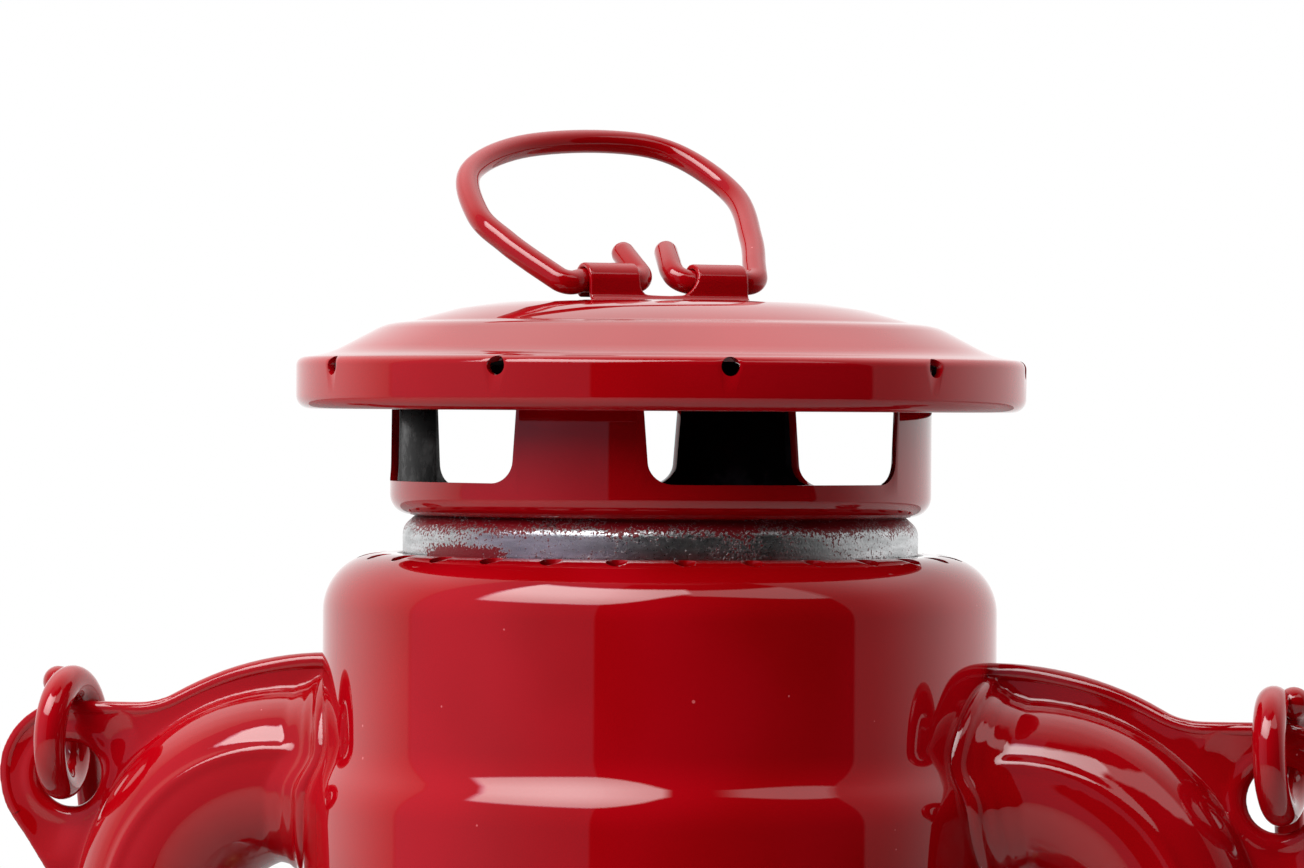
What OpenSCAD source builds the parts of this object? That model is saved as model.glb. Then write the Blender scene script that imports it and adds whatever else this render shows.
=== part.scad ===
// Hurricane lantern: fuel tank, side tubes, lifting globe carriage, sprung chimney with a hood, and a bail.
// Millimetres, +Z up, right-hand tube on +X, origin on the lantern's axis under the tank.

/* [Sheet and fits] */
// Thickness of every pressed sheet part
sheet = 0.8; // [0.6:0.05:0.9]
// Radial clearance of a running fit
run_gap = 0.05; // [0.02:0.01:0.1]
// Clearance between soldered, crimped or seated faces
seat_gap = 0.05; // [0.02:0.01:0.1]
// Clearance between pieces that pass each other
slide_gap = 0.6; // [0.4:0.1:0.8]
// Height between the globe's top and the chimney's seat on it
globe_gap = 0.2; // [0.1:0.05:0.4]

/* [Tank] */
// Outer radius of the tank wall
tank_r = 58.8; // [57:0.1:60]
// Height of the tank's flat top
tank_h = 62; // [56:0.5:66]
// Radius of the tank's round shoulder
tank_shoulder = 24; // [20:0.5:24.5]
// Height of the folded seam at the tank's foot
tank_rim_h = 5; // [4:0.5:8]

/* [Filler] */
// Distance of the filler's middle in from the tank's wall
filler_inset = 15.8; // [14:0.1:17]
// Angle of the filler round the tank, from the front towards the right
filler_yaw = 42; // [36:1:50]
// Outer radius of the filler neck
filler_r = 10; // [9:0.1:10.5]
// Wall of the filler neck
filler_wall = 1.4; // [1:0.1:2]
// Height of the filler neck above the tank's top
filler_rise = 6; // [5:0.5:8]
// Thickness of the filler gasket
gasket_t = 1.4; // [1:0.1:2]
// Wall of the filler cap
filler_cap_wall = 2; // [1.6:0.1:2.2]
// Grip flutes round the filler cap
filler_flutes = 20; // [12:1:24]

/* [Air cup and burner] */
// Outer radius of the air cup
cup_r = 28; // [27.5:0.1:28.5]
// Height of the air cup
cup_h = 26; // [25:0.5:30]
// Radius of the burner's screwed plug
plug_r = 14; // [13:0.1:14.5]
// Outer radius of the burner shell and cone
burner_r = 16.8; // [16.5:0.1:17.5]
// Height of the burner cone above its skirt
cone_h = 15; // [13:0.5:17]
// Turn of the burner, which sets where the knob points
burner_yaw = -25; // [-35:1:-15]
// Width of the wick
wick_w = 16.4; // [14:0.1:17]
// Thickness of the wick
wick_t = 2.6; // [2:0.1:3]
// Clearance between the wick and its tube
wick_gap = 0.4; // [0.3:0.05:0.5]
// Wall of the wick tube
wick_wall = 0.6; // [0.4:0.1:0.8]
// Radius over the sprocket teeth
sprocket_r = 4; // [3.5:0.1:4.3]
// Radius of the winder shaft
shaft_r = 1.25; // [1:0.05:1.5]
// Radius of the winder knob
knob_r = 9; // [8:0.1:10]
// Distance of the knob's outer face from the axis
knob_reach = 53; // [50:0.5:55]
// Grip flutes round the knob
knob_flutes = 18; // [12:1:20]

/* [Tubes and ears] */
// Distance of each tube's upright run from the axis
tube_x = 56.5; // [56:0.1:57.5]
// Outer radius of a tube
tube_r = 9.3; // [9:0.1:9.4]
// Bend radius along the middle of a tube
tube_bend = 16; // [15:0.5:16]
// Height of the tube's middle above the drum's lower edge
tube_rise = 20.5; // [20:0.5:22]
// Height of the seam web above a tube
web_h = 3.95; // [3.5:0.05:4.2]
// Radius of the seam web's upper edge
web_edge_r = 36; // [35:0.5:38]
// Radius of the hollow between the web's edge and the ear
web_hollow_r = 10; // [8:0.5:12]
// Radius of the folded bead along the web's edge
bead_r = 1.1; // [0.9:0.05:1.2]
// Distance of an ear's hole from the tube's middle
ear_reach = 10.5; // [10.4:0.1:11]
// Radius of an ear
ear_r = 8.1; // [7.8:0.1:8.3]
// Radius of the hole in an ear
ear_hole_r = 3.75; // [3.7:0.05:3.9]

/* [Drum] */
// Outer radius of the drum's upper wall
drum_r = 36.1; // [35.5:0.1:36.5]
// Outer radius of the drum's lower wall
drum_skirt_r = 38.1; // [37.6:0.1:38.3]
// Height of the drum
drum_h = 45; // [44:0.5:47]
// Height of the drum's lower edge above the globe's top
drum_reveal = 3.2; // [3:0.1:4]
// Height of the step between the two walls
drum_step = 4.8; // [4.4:0.1:5.2]
// Round at both edges of the step
step_round = 1.8; // [1.5:0.1:2]
// Height of the step's middle above the drum's lower edge
drum_step_z = 21.5; // [21:0.5:23]
// Round of the drum's top edge
drum_round = 6.2; // [5.5:0.1:6.6]
// Air slots round the neck
drum_slots = 28; // [20:1:30]
// Half width of an air slot
slot_r = 1.1; // [0.8:0.05:1.2]

/* [Globe carriage] */
// Height of the globe
globe_h = 98; // [96:0.5:100]
// Largest radius of the globe
globe_r = 41; // [40.5:0.1:41]
// Radius of the globe's foot
globe_foot_r = 29; // [28.5:0.1:29.4]
// Radius of the globe's mouth
globe_mouth_r = 28; // [27.5:0.1:28.6]
// Wall of the glass
glass_t = 2.2; // [1.8:0.1:2.4]
// Radius of the globe plate
plate_r = 36; // [35:0.1:36.5]
// Radius of the guard wires
guard_wire_r = 1; // [0.8:0.05:1.1]
// Radius of the inner guard hoop
hoop_r = 45.2; // [45:0.1:46]
// Distance of the upright guide wires from the axis
guide_x = 43.6; // [43.5:0.05:43.9]
// Travel of the globe carriage
globe_travel = 10; // [8:0.5:10]

/* [Lever] */
// Distance of the lever's pivot from the axis
lever_x = 60; // [59:0.5:61]
// Length of the lever's lifting arm, measured level
lever_arm = 21; // [20.5:0.5:21.5]
// Radius of the lever's pivot pin
lever_pin_r = 1.5; // [1.2:0.1:1.8]
// Thickness of the lever
lever_t = 1.6; // [1.2:0.1:2]

/* [Chimney and hood] */
// Outer radius of the chimney tube
flue_r = 26.4; // [26:0.1:26.5]
// Outer radius of the neck's bulge
neck_r = 27.6; // [27.3:0.1:27.8]
// Height of the neck above the drum
neck_h = 4.1; // [3.8:0.1:4.6]
// Radius of the bell over the globe's mouth
bell_r = 33.4; // [33:0.1:33.5]
// Depth of the bell's lip
bell_lip = 5; // [4:0.5:6]
// Outer radius of the windowed band
band_r = 29; // [28.7:0.1:29.3]
// Height of the windowed band
band_h = 19.75; // [19:0.25:21]
// Round of the band's lower edge
band_round = 2.2; // [2:0.1:2.4]
// Height of a window's sill above the band's lower edge
sill_h = 3.6; // [3.3:0.1:4.5]
// Half angle of a window at its top
window_top = 32; // [30:0.5:33]
// Half angle of a window at its sill
window_foot = 30; // [28:0.5:30]
// Outer radius of the hood's cap
cap_r = 39.1; // [38.5:0.1:39.5]
// Height of the crown above the cap's ledge
crown_rise = 2.35; // [2:0.05:2.6]
// Height of the cap's rim wall
cap_rim_h = 5.5; // [5.2:0.1:6]
// Vent holes round the cap's rim
cap_vents = 10; // [8:1:12]
// Turn of the hood, along the lifting ring's hinge
hood_yaw = 43; // [38:1:48]
// Travel of the chimney against its spring
hood_travel = 12; // [8:0.5:12]
// Turns of the chimney spring
spring_turns = 7; // [6:1:8]
// Radius of the spring's wire
spring_wire_r = 0.6; // [0.5:0.05:0.7]

/* [Lifting ring] */
// Radius of the lifting ring's wire
ring_wire_r = 1.3; // [1.2:0.05:1.35]
// Height of the lifting ring from its hinge
ring_h = 28.4; // [26:0.2:30]
// Width between the ring's shoulders
ring_w = 32.8; // [31:0.2:34]
// Lean of the resting ring from upright
ring_lean = 57; // [50:1:60]
// Wall of the rolled lugs
lug_wall = 0.55; // [0.5:0.05:0.7]
// Length of one rolled lug
lug_len = 6; // [5.5:0.1:6.2]
// Half of the gap between the two lugs
lug_gap = 3.6; // [3.6:0.1:3.8]

/* [Bail] */
// Radius of the bail's wire
bail_wire_r = 1.75; // [1.6:0.05:1.8]
// Radius along the middle of a bail eye
eye_r = 5.45; // [5.4:0.05:5.55]
// Length of the bail from its pivot
bail_len = 128; // [122:1:130]
// Bend radius of the bail's corners
bail_bend = 55; // [48:1:58]
// Angle of the hanging bail from upright
bail_hang = 16; // [15:0.5:20]

/* [Hidden] */
$fn = 64;

red = [0.62, 0.02, 0.05];
tin = [0.7, 0.71, 0.72];
brass = [0.78, 0.62, 0.3];
steel = [0.5, 0.5, 0.52];
cotton = [0.93, 0.9, 0.82];
clear = [0.85, 0.92, 0.95, 0.35];
rubber = [0.12, 0.12, 0.12];

arc_steps = 8;
far = 200;

// Small sizes of the frame
web_start = 0.9;
web_bite = 2;
ear_drop = 0.5;
ear_taper = 35.7;
ear_cone = 0.8;
collar_w = 3.4;
collar_t = 1.5;
tube_bite = 4;
bead_turn = 24;
slot_inset = 1.6;
slot_margin = 3.6;
slot_depth = 5;
clip_play = 0.3;
clip_wall = 0.8;
clip_w = 3;
clip_t = 2;
clip_rise = 9;

// Small sizes of the filler
neck_depth = 12;
filler_play = 0.35;
filler_cap_lift = 0.5;
filler_cap_t = 1.2;
gasket_play = 0.2;
gasket_lap = 0.5;
filler_flute_r = 1.2;
filler_flute_out = 0.7;

// Small sizes of the burner
plug_depth = 4;
flange_t = 1.2;
flange_w = 1;
base_rise = 5.2;
collar_wall = 3.4;
skirt_drop = 4;
air_holes = 12;
air_hole_r = 1.6;
air_hole_drop = 3.5;
air_hole_reach = 3;
cone_round = 12;
cone_slot_t = 6.4;
cone_slot_w = 2;
cone_slot_depth = 6;
tube_sink = 4.5;
wick_show = 2.4;
wick_clear = 8;
tooth_gap = 0.15;
tooth_count = 10;
tooth_r = 0.8;
tooth_out = 0.3;
sprocket_t = 1.2;
sprocket_set = 3;
notch = 10;
shaft_rise = 13;
shaft_back = 7;
shaft_end = 1;
bush_wall = 1.3;
bush_len = 8;
knob_t = 4;
knob_hub_r = 3;
knob_hub_len = 3;
knob_flute_r = 1.3;
knob_flute_out = 0.6;

// Small sizes of the carriage and lever
hoop_bite = 0.2;
guide_rise = 28;
guide_bite = 0.1;
globe_lip = 5;
plate_hole_r = 1.3;
plate_inner_holes = 18;
plate_outer_holes = 24;
plate_inner_set = 4;
plate_outer_set = 8.2;
plate_rim_h = 1.2;
keep_h = 4;
keep_play = 0.4;
guide_tab_w = 6;
guide_tab_out = 2;
tab_lap = 4;
tab_out = 2.6;
tab_far = 4.3;
tab_near = 0.4;
lever_stand = 1;
peg_r = 1.3;
peg_over = 0.2;
boss_r = 3;
boss_gap = 0.4;
pin_head_r = 2.8;
pin_head_t = 0.9;
lever_eye_r = 3.6;
lever_half = 2.4;
thumb_in = 7;
thumb_end = 0.6;
thumb_half = 1;
thumb_t = 1.6;
thumb_side = 3;

// Small sizes of the chimney, hood and ring
spring_play = 0.4;
cap_fall = 3.85;
skirt_fall = 3.4;
skirt_in = 3.5;
skirt_lean = 1.1;
ledge_lap = 0.2;
lip_in = 2.2;
dome_r = 13;
dome_end = 27;
dome_step = 0.05;
rim_round = 1;
lip_round = 1.3;
vent_r = 1;
vent_drop = 0.9;
vent_len = 3;
vent_back = 1;
window_head = 3;
window_corner = 2.4;
floor_lap = 0.4;
neck_fold = 1.4;
neck_start = 4;
neck_full = 2;
neck_corner = 0.4;
bell_round = 0.6;
hinge_lift = 0.2;
bracket_t = 0.6;
bracket_toe = 0.8;
ring_tip = 6;
tip_play = 0.3;
tip_play_r = 0.2;
ring_foot_out = 2.3;
ring_foot_bend = 2;
// Corners of the hand-bent ring as shares of its width and height, and their bends
ring_corners = [[-0.571, 0.552], [-0.272, 0.988], [0.334, 1.058], [0.599, 0.729]];
ring_bends = [14, 15, 9, 13];
eye_gap = 0.2;
shank_under = 0.03;

cup_top = tank_h + cup_h;
globe_foot = cup_top + sheet;
globe_top = globe_foot + globe_h;
globe_mid = globe_foot + globe_h / 2;
bell_seat = globe_top + globe_gap;
bell_top = bell_seat + sheet;
drum_foot = globe_top + drum_reveal;
drum_top = drum_foot + drum_h;
neck_hole_r = neck_r + slide_gap;
step_z0 = drum_foot + drum_step_z - drum_step / 2;
step_in = 2 * step_round - drum_skirt_r + drum_r;
step_turn = atan2(drum_step, step_in) - acos(2 * step_round / norm([step_in, drum_step]));

tube_high = drum_foot + tube_rise;
tube_lift = slide_gap;
tube_low = tank_h + tube_lift + tube_r;
bend_x = tube_x - tube_bend;
bend_high = tube_high - tube_bend;
bend_low = tube_low + tube_bend;
web_top = tube_high + tube_r + web_h;
web_x = drum_r + web_start;
ear_x = tube_x + ear_reach;
ear_z = tube_high - ear_drop;

hood_foot = drum_top + neck_h;
band_top = hood_foot + band_h;
ledge_z = band_top + sheet;
crown_z = ledge_z + crown_rise;
rim_foot = ledge_z - cap_fall - cap_rim_h;
hinge_z = crown_z + lug_wall + 2 * run_gap + ring_wire_r + hinge_lift;
lug_bore = ring_wire_r + 2 * run_gap;
lug_r = lug_bore + lug_wall;

pivot_z = ear_z + ear_r + eye_gap - (eye_r - bail_wire_r);

neck_top = tank_h + filler_rise;
filler_reach = tank_r - filler_inset;
filler_x = filler_reach * sin(filler_yaw);
filler_y = -filler_reach * cos(filler_yaw);
gasket_z = neck_top + seat_gap;
filler_cap_in = filler_r + filler_play;
filler_cap_r = filler_cap_in + filler_cap_wall;
filler_cap_z = tank_h + filler_cap_lift;
filler_ceiling = gasket_z + gasket_t + seat_gap;

tube_in_w = wick_w + 2 * wick_gap;
tube_in_t = wick_t + 2 * wick_gap;
wick_tube_w = tube_in_w + 2 * wick_wall;
wick_tube_t = tube_in_t + 2 * wick_wall;
plug_foot = tank_h - plug_depth;
base_top = tank_h + base_rise;
skirt_top = cup_top - skirt_drop;
cone_top = cup_top + cone_h;
wick_tube_top = cone_top - tube_sink;
wick_top = wick_tube_top + wick_show;
wick_foot = tank_rim_h + wick_clear;
sprocket_x = wick_t / 2 + tooth_gap + sprocket_r;
shaft_z = tank_h + shaft_rise;
bush_r = shaft_r + run_gap + bush_wall;

hoop_outer_r = hoop_r + 2 * guard_wire_r - hoop_bite;
hoop_side = guide_x - 2 * guard_wire_r + guide_bite;
guide_top = globe_mid + guide_rise;
clip_z = globe_mid + clip_rise;
tab_y0 = -tube_r - tab_far;
tab_y1 = -tube_r - tab_near;
peg_x = lever_x - lever_arm;
peg_z = cup_top - globe_gap - peg_r;
lever_z = peg_z + globe_travel / 2;
lever_y = tab_y0 - lever_stand;
boss_end = lever_y + boss_gap;

spring_r = neck_hole_r + spring_play + spring_wire_r;
spring_foot = bell_top + spring_wire_r + seat_gap;
spring_top = drum_top - sheet - spring_wire_r - seat_gap;

// Points along an arc, from angle a0 to a1
function arc(c, r, a0, a1, n = arc_steps) =
    [for (i = [0:n]) c + r * [cos(a0 + (a1 - a0) * i / n), sin(a0 + (a1 - a0) * i / n)]];

// A list in the opposite order
function back(list) = [for (i = [len(list) - 1:-1:0]) list[i]];

// Drum wall line set inwards by d, from the foot up to the neck's hole
function drum_line(d) = concat(
    [[drum_skirt_r - d, drum_foot]],
    arc([drum_skirt_r - step_round, step_z0], step_round - d, 0, step_turn, 4),
    arc([drum_r + step_round, step_z0 + drum_step], step_round + d, 180 + step_turn, 180, 4),
    arc([drum_r - drum_round, drum_top - drum_round], drum_round - d, 0, 90),
    [[neck_hole_r, drum_top - d]]
);

// Cap line set inwards by d, from the crown out to the rim's lip
dome_drop = crown_rise - dome_step;
dome_arc = (pow(dome_end - dome_r, 2) + pow(dome_drop, 2)) / (2 * dome_drop);
function cap_line(d) = concat(
    [[0, crown_z - d]],
    arc([dome_r, crown_z - dome_arc], dome_arc - d, 90, 90 - asin((dome_end - dome_r) / dome_arc)),
    [[band_r + ledge_lap, ledge_z - d]],
    [[cap_r - skirt_in, ledge_z - skirt_fall - d * skirt_lean]],
    arc([cap_r - rim_round, ledge_z - cap_fall - rim_round], rim_round - d, 85, 0, 5),
    arc([cap_r - lip_round, rim_foot + lip_round], lip_round - d, 0, -90, 6),
    [[cap_r - lip_in, rim_foot + d]]
);

// Globe line set inwards by d, from the foot up to the mouth
globe_half = globe_h / 2 - globe_lip;
globe_arc = (pow(globe_half, 2) + pow(globe_r - globe_foot_r, 2)) / (2 * (globe_r - globe_foot_r));
function globe_line(d) = concat(
    [[globe_foot_r - d, globe_foot]],
    arc([globe_r - globe_arc, globe_mid], globe_arc - d, -asin(globe_half / globe_arc),
        asin(globe_half / globe_arc) - 1, 20),
    [[globe_mouth_r - d, globe_top]]
);

// Solid of revolution round the lantern's axis
module turned(outline) {
    rotate_extrude($fn = 96) polygon(outline);
}

// Straight tube between two radii and two heights
module ring_tube(r_out, r_in, z0, z1) {
    turned([[r_in, z0], [r_out, z0], [r_out, z1], [r_in, z1]]);
}

// Direction of leg i of a bent wire
function leg(p, i) = (p[i + 1] - p[i]) / norm(p[i + 1] - p[i]);

// Signed turn at corner i of a bent wire
function turn(p, i) =
    let (a = leg(p, i - 1), b = leg(p, i)) atan2(a.x * b.y - a.y * b.x, a * b);

// Length that a rounded corner takes from each leg
function setback(p, r, i) =
    i == 0 || i == len(p) - 1 ? 0 : r[i] * tan(abs(turn(p, i)) / 2);

// Round rod from a to b in the XY plane
module rod(a, b, w) {
    translate([a.x, a.y, 0])
        rotate([0, 90, atan2(b.y - a.y, b.x - a.x)])
            cylinder(r = w, h = norm(b - a));
}

// Bent wire through corner points in the XY plane, corner i rounded to radius r[i]
module wire(p, r, w) {
    for (i = [0:len(p) - 2])
        rod(p[i] + leg(p, i) * setback(p, r, i), p[i + 1] - leg(p, i) * setback(p, r, i + 1), w);
    for (i = [1:len(p) - 2]) {
        t = turn(p, i);
        inward = (leg(p, i) - leg(p, i - 1)) / norm(leg(p, i) - leg(p, i - 1));
        middle = p[i] + inward * r[i] / cos(t / 2);
        start = p[i] - leg(p, i - 1) * setback(p, r, i) - middle;
        translate([middle.x, middle.y, 0])
            rotate([0, 0, atan2(start.y, start.x) + min(t, 0)])
                rotate_extrude(angle = abs(t)) translate([r[i], 0]) circle(w);
    }
}

// Stations along the rounded corner i of a bent wire: place and heading
function corner(p, r, i) =
    let (
        t = turn(p, i), a = leg(p, i - 1), b = leg(p, i), n = ceil(abs(t) / 14) + 1,
        middle = p[i] + (b - a) / norm(b - a) * r[i] / cos(t / 2), from = atan2(a.y, a.x)
    )
    [for (k = [0:n]) let (h = from + t * k / n) [middle + sign(t) * r[i] * [sin(h), -cos(h)], h]];

// Stations along a whole bent wire
function stations(p, r) = concat(
    [[p[0], atan2(leg(p, 0).y, leg(p, 0).x)]],
    [for (i = [1:len(p) - 2]) each corner(p, r, i)],
    [[p[len(p) - 1], atan2(leg(p, len(p) - 2).y, leg(p, len(p) - 2).x)]]
);

// Bent wire as one closed tube of rings, in the XY plane
module bent_tube(p, r, w) {
    line = stations(p, r);
    sides = 14;
    points = [
        for (m = line, k = [0:sides - 1])
            let (b = k * 360 / sides, u = w * cos(b))
            [m[0].x - u * sin(m[1]), m[0].y + u * cos(m[1]), w * sin(b)]
    ];
    tube_skin(points, sides);
}

// Closed skin over rings of points that follow each other
module tube_skin(points, sides) {
    last = len(points) / sides - 1;
    walls = [
        for (i = [0:last - 1], k = [0:sides - 1])
            let (a = i * sides + k, b = i * sides + (k + 1) % sides)
            [a, a + sides, b + sides, b]
    ];
    ends = [[for (k = [0:sides - 1]) k], [for (k = [sides - 1:-1:0]) last * sides + k]];
    polyhedron(points, concat(walls, ends));
}

// Full ring of round wire in the XY plane
module hoop(r, w) {
    rotate_extrude($fn = 96) translate([r, 0]) circle(w);
}

// Tank

module tank_base() {
    lip_in = tank_r + seat_gap;
    lip_out = lip_in + sheet;
    wall_out = tank_r - sheet - seat_gap;
    wall_in = wall_out - sheet;
    color(red) turned([
        [0, tank_rim_h - sheet], [wall_in, tank_rim_h - sheet], [wall_in, 0], [lip_out, 0],
        [lip_out, tank_rim_h], [lip_in, tank_rim_h], [lip_in, sheet], [wall_out, sheet],
        [wall_out, tank_rim_h], [0, tank_rim_h]
    ]);
}

module tank_shell() {
    mid = [tank_r - tank_shoulder, tank_h - tank_shoulder];
    color(red) difference() {
        turned(concat(
            [[tank_r, sheet]], arc(mid, tank_shoulder, 0, 90, 12),
            [[plug_r + seat_gap, tank_h], [plug_r + seat_gap, tank_h - sheet]],
            arc(mid, tank_shoulder - sheet, 90, 0, 12), [[tank_r - sheet, sheet]]
        ));
        translate([filler_x, filler_y, tank_h / 2]) cylinder(r = filler_r + seat_gap, h = tank_h);
    }
}

module filler_neck() {
    color(red) translate([filler_x, filler_y, 0]) difference() {
        translate([0, 0, tank_h - neck_depth]) cylinder(r = filler_r, h = neck_top - tank_h + neck_depth);
        cylinder(r = filler_r - filler_wall, h = far);
    }
}

module filler_gasket() {
    color(rubber) translate([filler_x, filler_y, gasket_z]) difference() {
        cylinder(r = filler_cap_in - gasket_play, h = gasket_t);
        translate([0, 0, -gasket_t]) cylinder(r = filler_r - filler_wall - gasket_lap, h = 3 * gasket_t);
    }
}

module filler_cap() {
    color(red) translate([filler_x, filler_y, 0]) difference() {
        translate([0, 0, filler_cap_z])
            cylinder(r = filler_cap_r, h = filler_ceiling + filler_cap_t - filler_cap_z);
        cylinder(r = filler_cap_in, h = filler_ceiling);
        for (i = [0:filler_flutes - 1])
            rotate([0, 0, i * 360 / filler_flutes])
                translate([filler_cap_r + filler_flute_out, 0, 0])
                    cylinder(r = filler_flute_r, h = far, $fn = 24);
    }
}

// Air cup and burner

// Bore of both tubes' lower ends through the cup's wall
module tube_bores() {
    translate([-far / 2, 0, tube_low]) rotate([0, 90, 0]) cylinder(r = tube_r - sheet, h = far);
}

module air_cup() {
    color(red) difference() {
        ring_tube(cup_r, cup_r - sheet, tank_h, cup_top);
        tube_bores();
        at_shaft() cylinder(r = bush_r + seat_gap, h = far);
    }
}

// Places its children on the winder shaft's axis, +Z of the child pointing out to the knob
module at_shaft() {
    rotate([0, 0, burner_yaw]) translate([sprocket_x, 0, shaft_z]) rotate([90, 0, 0]) children();
}

module shaft_bush() {
    color(brass) at_shaft() translate([0, 0, cup_r - bush_len / 2]) difference() {
        cylinder(r = bush_r, h = bush_len);
        translate([0, 0, -bush_len]) cylinder(r = shaft_r + run_gap, h = 3 * bush_len);
    }
}

module burner_collar() {
    color(brass) ring_tube(plug_r + collar_wall, plug_r + seat_gap, tank_h, base_top - flange_t);
}

// Upright block across the wick's flat section
module wick_block(w, t, z0, z1) {
    translate([-t / 2, -w / 2, z0]) cube([t, w, z1 - z0]);
}

module burner_base() {
    color(brass) rotate([0, 0, burner_yaw]) difference() {
        union() {
            translate([0, 0, plug_foot]) cylinder(r = plug_r, h = base_top - plug_foot);
            translate([0, 0, base_top - flange_t]) cylinder(r = burner_r + flange_w, h = flange_t);
        }
        wick_block(wick_tube_w, wick_tube_t, 0, far);
    }
}

module burner_shell() {
    color(brass) difference() {
        ring_tube(burner_r, burner_r - sheet, base_top, skirt_top);
        at_shaft() cylinder(r = shaft_r + run_gap, h = far);
        for (i = [0:air_holes - 1])
            rotate([0, 0, burner_yaw + (i + 0.5) * 360 / air_holes])
                translate([burner_r - air_hole_reach, 0, skirt_top - air_hole_drop])
                    rotate([0, 90, 0]) cylinder(r = air_hole_r, h = 2 * air_hole_reach, $fn = 32);
    }
}

module burner_cone() {
    mid = [burner_r - cone_round, cone_top - cone_round];
    color(brass) rotate([0, 0, burner_yaw]) difference() {
        turned(concat(
            arc(mid, cone_round, 0, 90), [[0, cone_top], [0, cone_top - sheet]],
            arc(mid, cone_round - sheet, 90, 0),
            [[burner_r - sheet, skirt_top], [burner_r, skirt_top]]
        ));
        wick_block(wick_tube_w + cone_slot_w, cone_slot_t, cone_top - cone_slot_depth, far);
    }
}

module wick_tube() {
    color(brass) rotate([0, 0, burner_yaw]) difference() {
        wick_block(wick_tube_w, wick_tube_t, plug_foot, wick_tube_top);
        wick_block(tube_in_w, tube_in_t, 0, far);
        translate([0, -notch / 2, shaft_z - notch / 2]) cube([wick_tube_t, notch, notch]);
    }
}

module wick() {
    color(cotton) rotate([0, 0, burner_yaw]) wick_block(wick_w, wick_t, wick_foot, wick_top);
}

module wick_shaft() {
    color(steel) at_shaft() translate([0, 0, -shaft_back])
        cylinder(r = shaft_r, h = knob_reach + shaft_back - shaft_end);
}

module wick_sprockets() {
    color(steel) at_shaft() difference() {
        for (side = [-1, 1])
            translate([0, 0, side * sprocket_set - sprocket_t / 2]) cylinder(r = sprocket_r, h = sprocket_t);
        translate([0, 0, -far / 2]) cylinder(r = shaft_r, h = far);
        for (i = [0:tooth_count - 1])
            rotate([0, 0, i * 360 / tooth_count])
                translate([sprocket_r + tooth_out, 0, -far / 2])
                    cylinder(r = tooth_r, h = far, $fn = 24);
    }
}

module wick_knob() {
    color(red) at_shaft() difference() {
        union() {
            translate([0, 0, knob_reach - knob_t]) cylinder(r = knob_r, h = knob_t);
            translate([0, 0, knob_reach - knob_t - knob_hub_len])
                cylinder(r = knob_hub_r, h = knob_hub_len + knob_t / 2);
        }
        cylinder(r = shaft_r, h = knob_reach - shaft_end);
        for (i = [0:knob_flutes - 1])
            rotate([0, 0, i * 360 / knob_flutes])
                translate([knob_r + knob_flute_out, 0, 0]) cylinder(r = knob_flute_r, h = far, $fn = 24);
    }
}

// Side tubes

// Half ring in section, below the seam
module half_ring(r_out, r_in) {
    difference() {
        circle(r_out);
        circle(r_in);
        translate([-far, 0]) square([2 * far, far]);
    }
}

// Half of a tube's wall in section
module half_wall() {
    half_ring(tube_r, tube_r - sheet);
}

// Wall of one half tube round a bend in the XZ plane, from angle a0 over 90 degrees
module tube_turn(z, a0) {
    translate([bend_x, 0, z])
        rotate([-90, 0, 0])
            rotate([0, 0, a0])
                rotate_extrude(angle = 90) translate([tube_bend, 0]) half_wall();
}

// Outline of the seam web and ear in the XZ plane
module web_outline() {
    inner = tube_bend + tube_r - sheet / 2;
    taper = [cos(ear_taper), -sin(ear_taper)];
    edge_mid = [web_x, web_top - web_edge_r];
    hollow_z = ear_z + ear_r + web_hollow_r;
    edge_end = asin((hollow_z - edge_mid.y) / (web_edge_r + web_hollow_r));
    hollow_x = edge_mid.x + (web_edge_r + web_hollow_r) * cos(edge_end);
    foot_x = bend_x + inner;
    touch = [ear_x, ear_z] + ear_r * taper;
    foot_z = touch.y - (touch.x - foot_x) * cos(ear_taper) / sin(ear_taper);
    difference() {
        polygon(concat(
            [[drum_r - web_bite, tube_high + tube_r - sheet / 2], [drum_r - web_bite, web_top]],
            arc(edge_mid, web_edge_r, 90, edge_end),
            arc([hollow_x, hollow_z], web_hollow_r, edge_end + 180, 270),
            arc([ear_x, ear_z], ear_r, 90, -ear_taper, 14),
            [[foot_x, foot_z]],
            arc([bend_x, bend_high], inner, 0, 90, 16)
        ));
        translate([ear_x, ear_z]) circle(ear_hole_r);
    }
}

// Half wall of a tube's level run along +X
module level_run(x0, x1, z, r_out, r_in) {
    translate([x0, 0, z]) rotate([90, 0, 90])
        linear_extrude(x1 - x0) rotate([0, 0, -90]) half_ring(r_out, r_in);
}

// Space that the drum takes from the tubes' upper ends
module drum_space() {
    translate([0, 0, drum_foot]) cylinder(r = drum_skirt_r + seat_gap, h = drum_step_z + drum_step / 2);
    translate([0, 0, drum_foot]) cylinder(r = drum_r + seat_gap, h = drum_h);
}

// Right-hand half tube in front of the seam, with its share of the web, bead and collar
module tube_half() {
    difference() {
        union() {
            tube_turn(bend_high, -90);
            tube_turn(bend_low, 0);
            translate([tube_x, 0, bend_low]) linear_extrude(bend_high - bend_low) half_wall();
            level_run(cup_r - tube_bite, bend_x, tube_low, tube_r, tube_r - sheet);
            level_run(drum_r - tube_bite, bend_x, tube_high, tube_r, tube_r - sheet);
            tube_collar();
            rotate([90, 0, 0]) linear_extrude(sheet) web_outline();
            half_bead();
        }
        drum_space();
        cylinder(r = cup_r + seat_gap, h = tube_low + 2 * tube_r);
        translate([ear_x, -sheet, ear_z])
            rotate([-90, 0, 0]) cylinder(r1 = ear_hole_r + ear_cone, r2 = ear_hole_r, h = sheet);
    }
}

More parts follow.
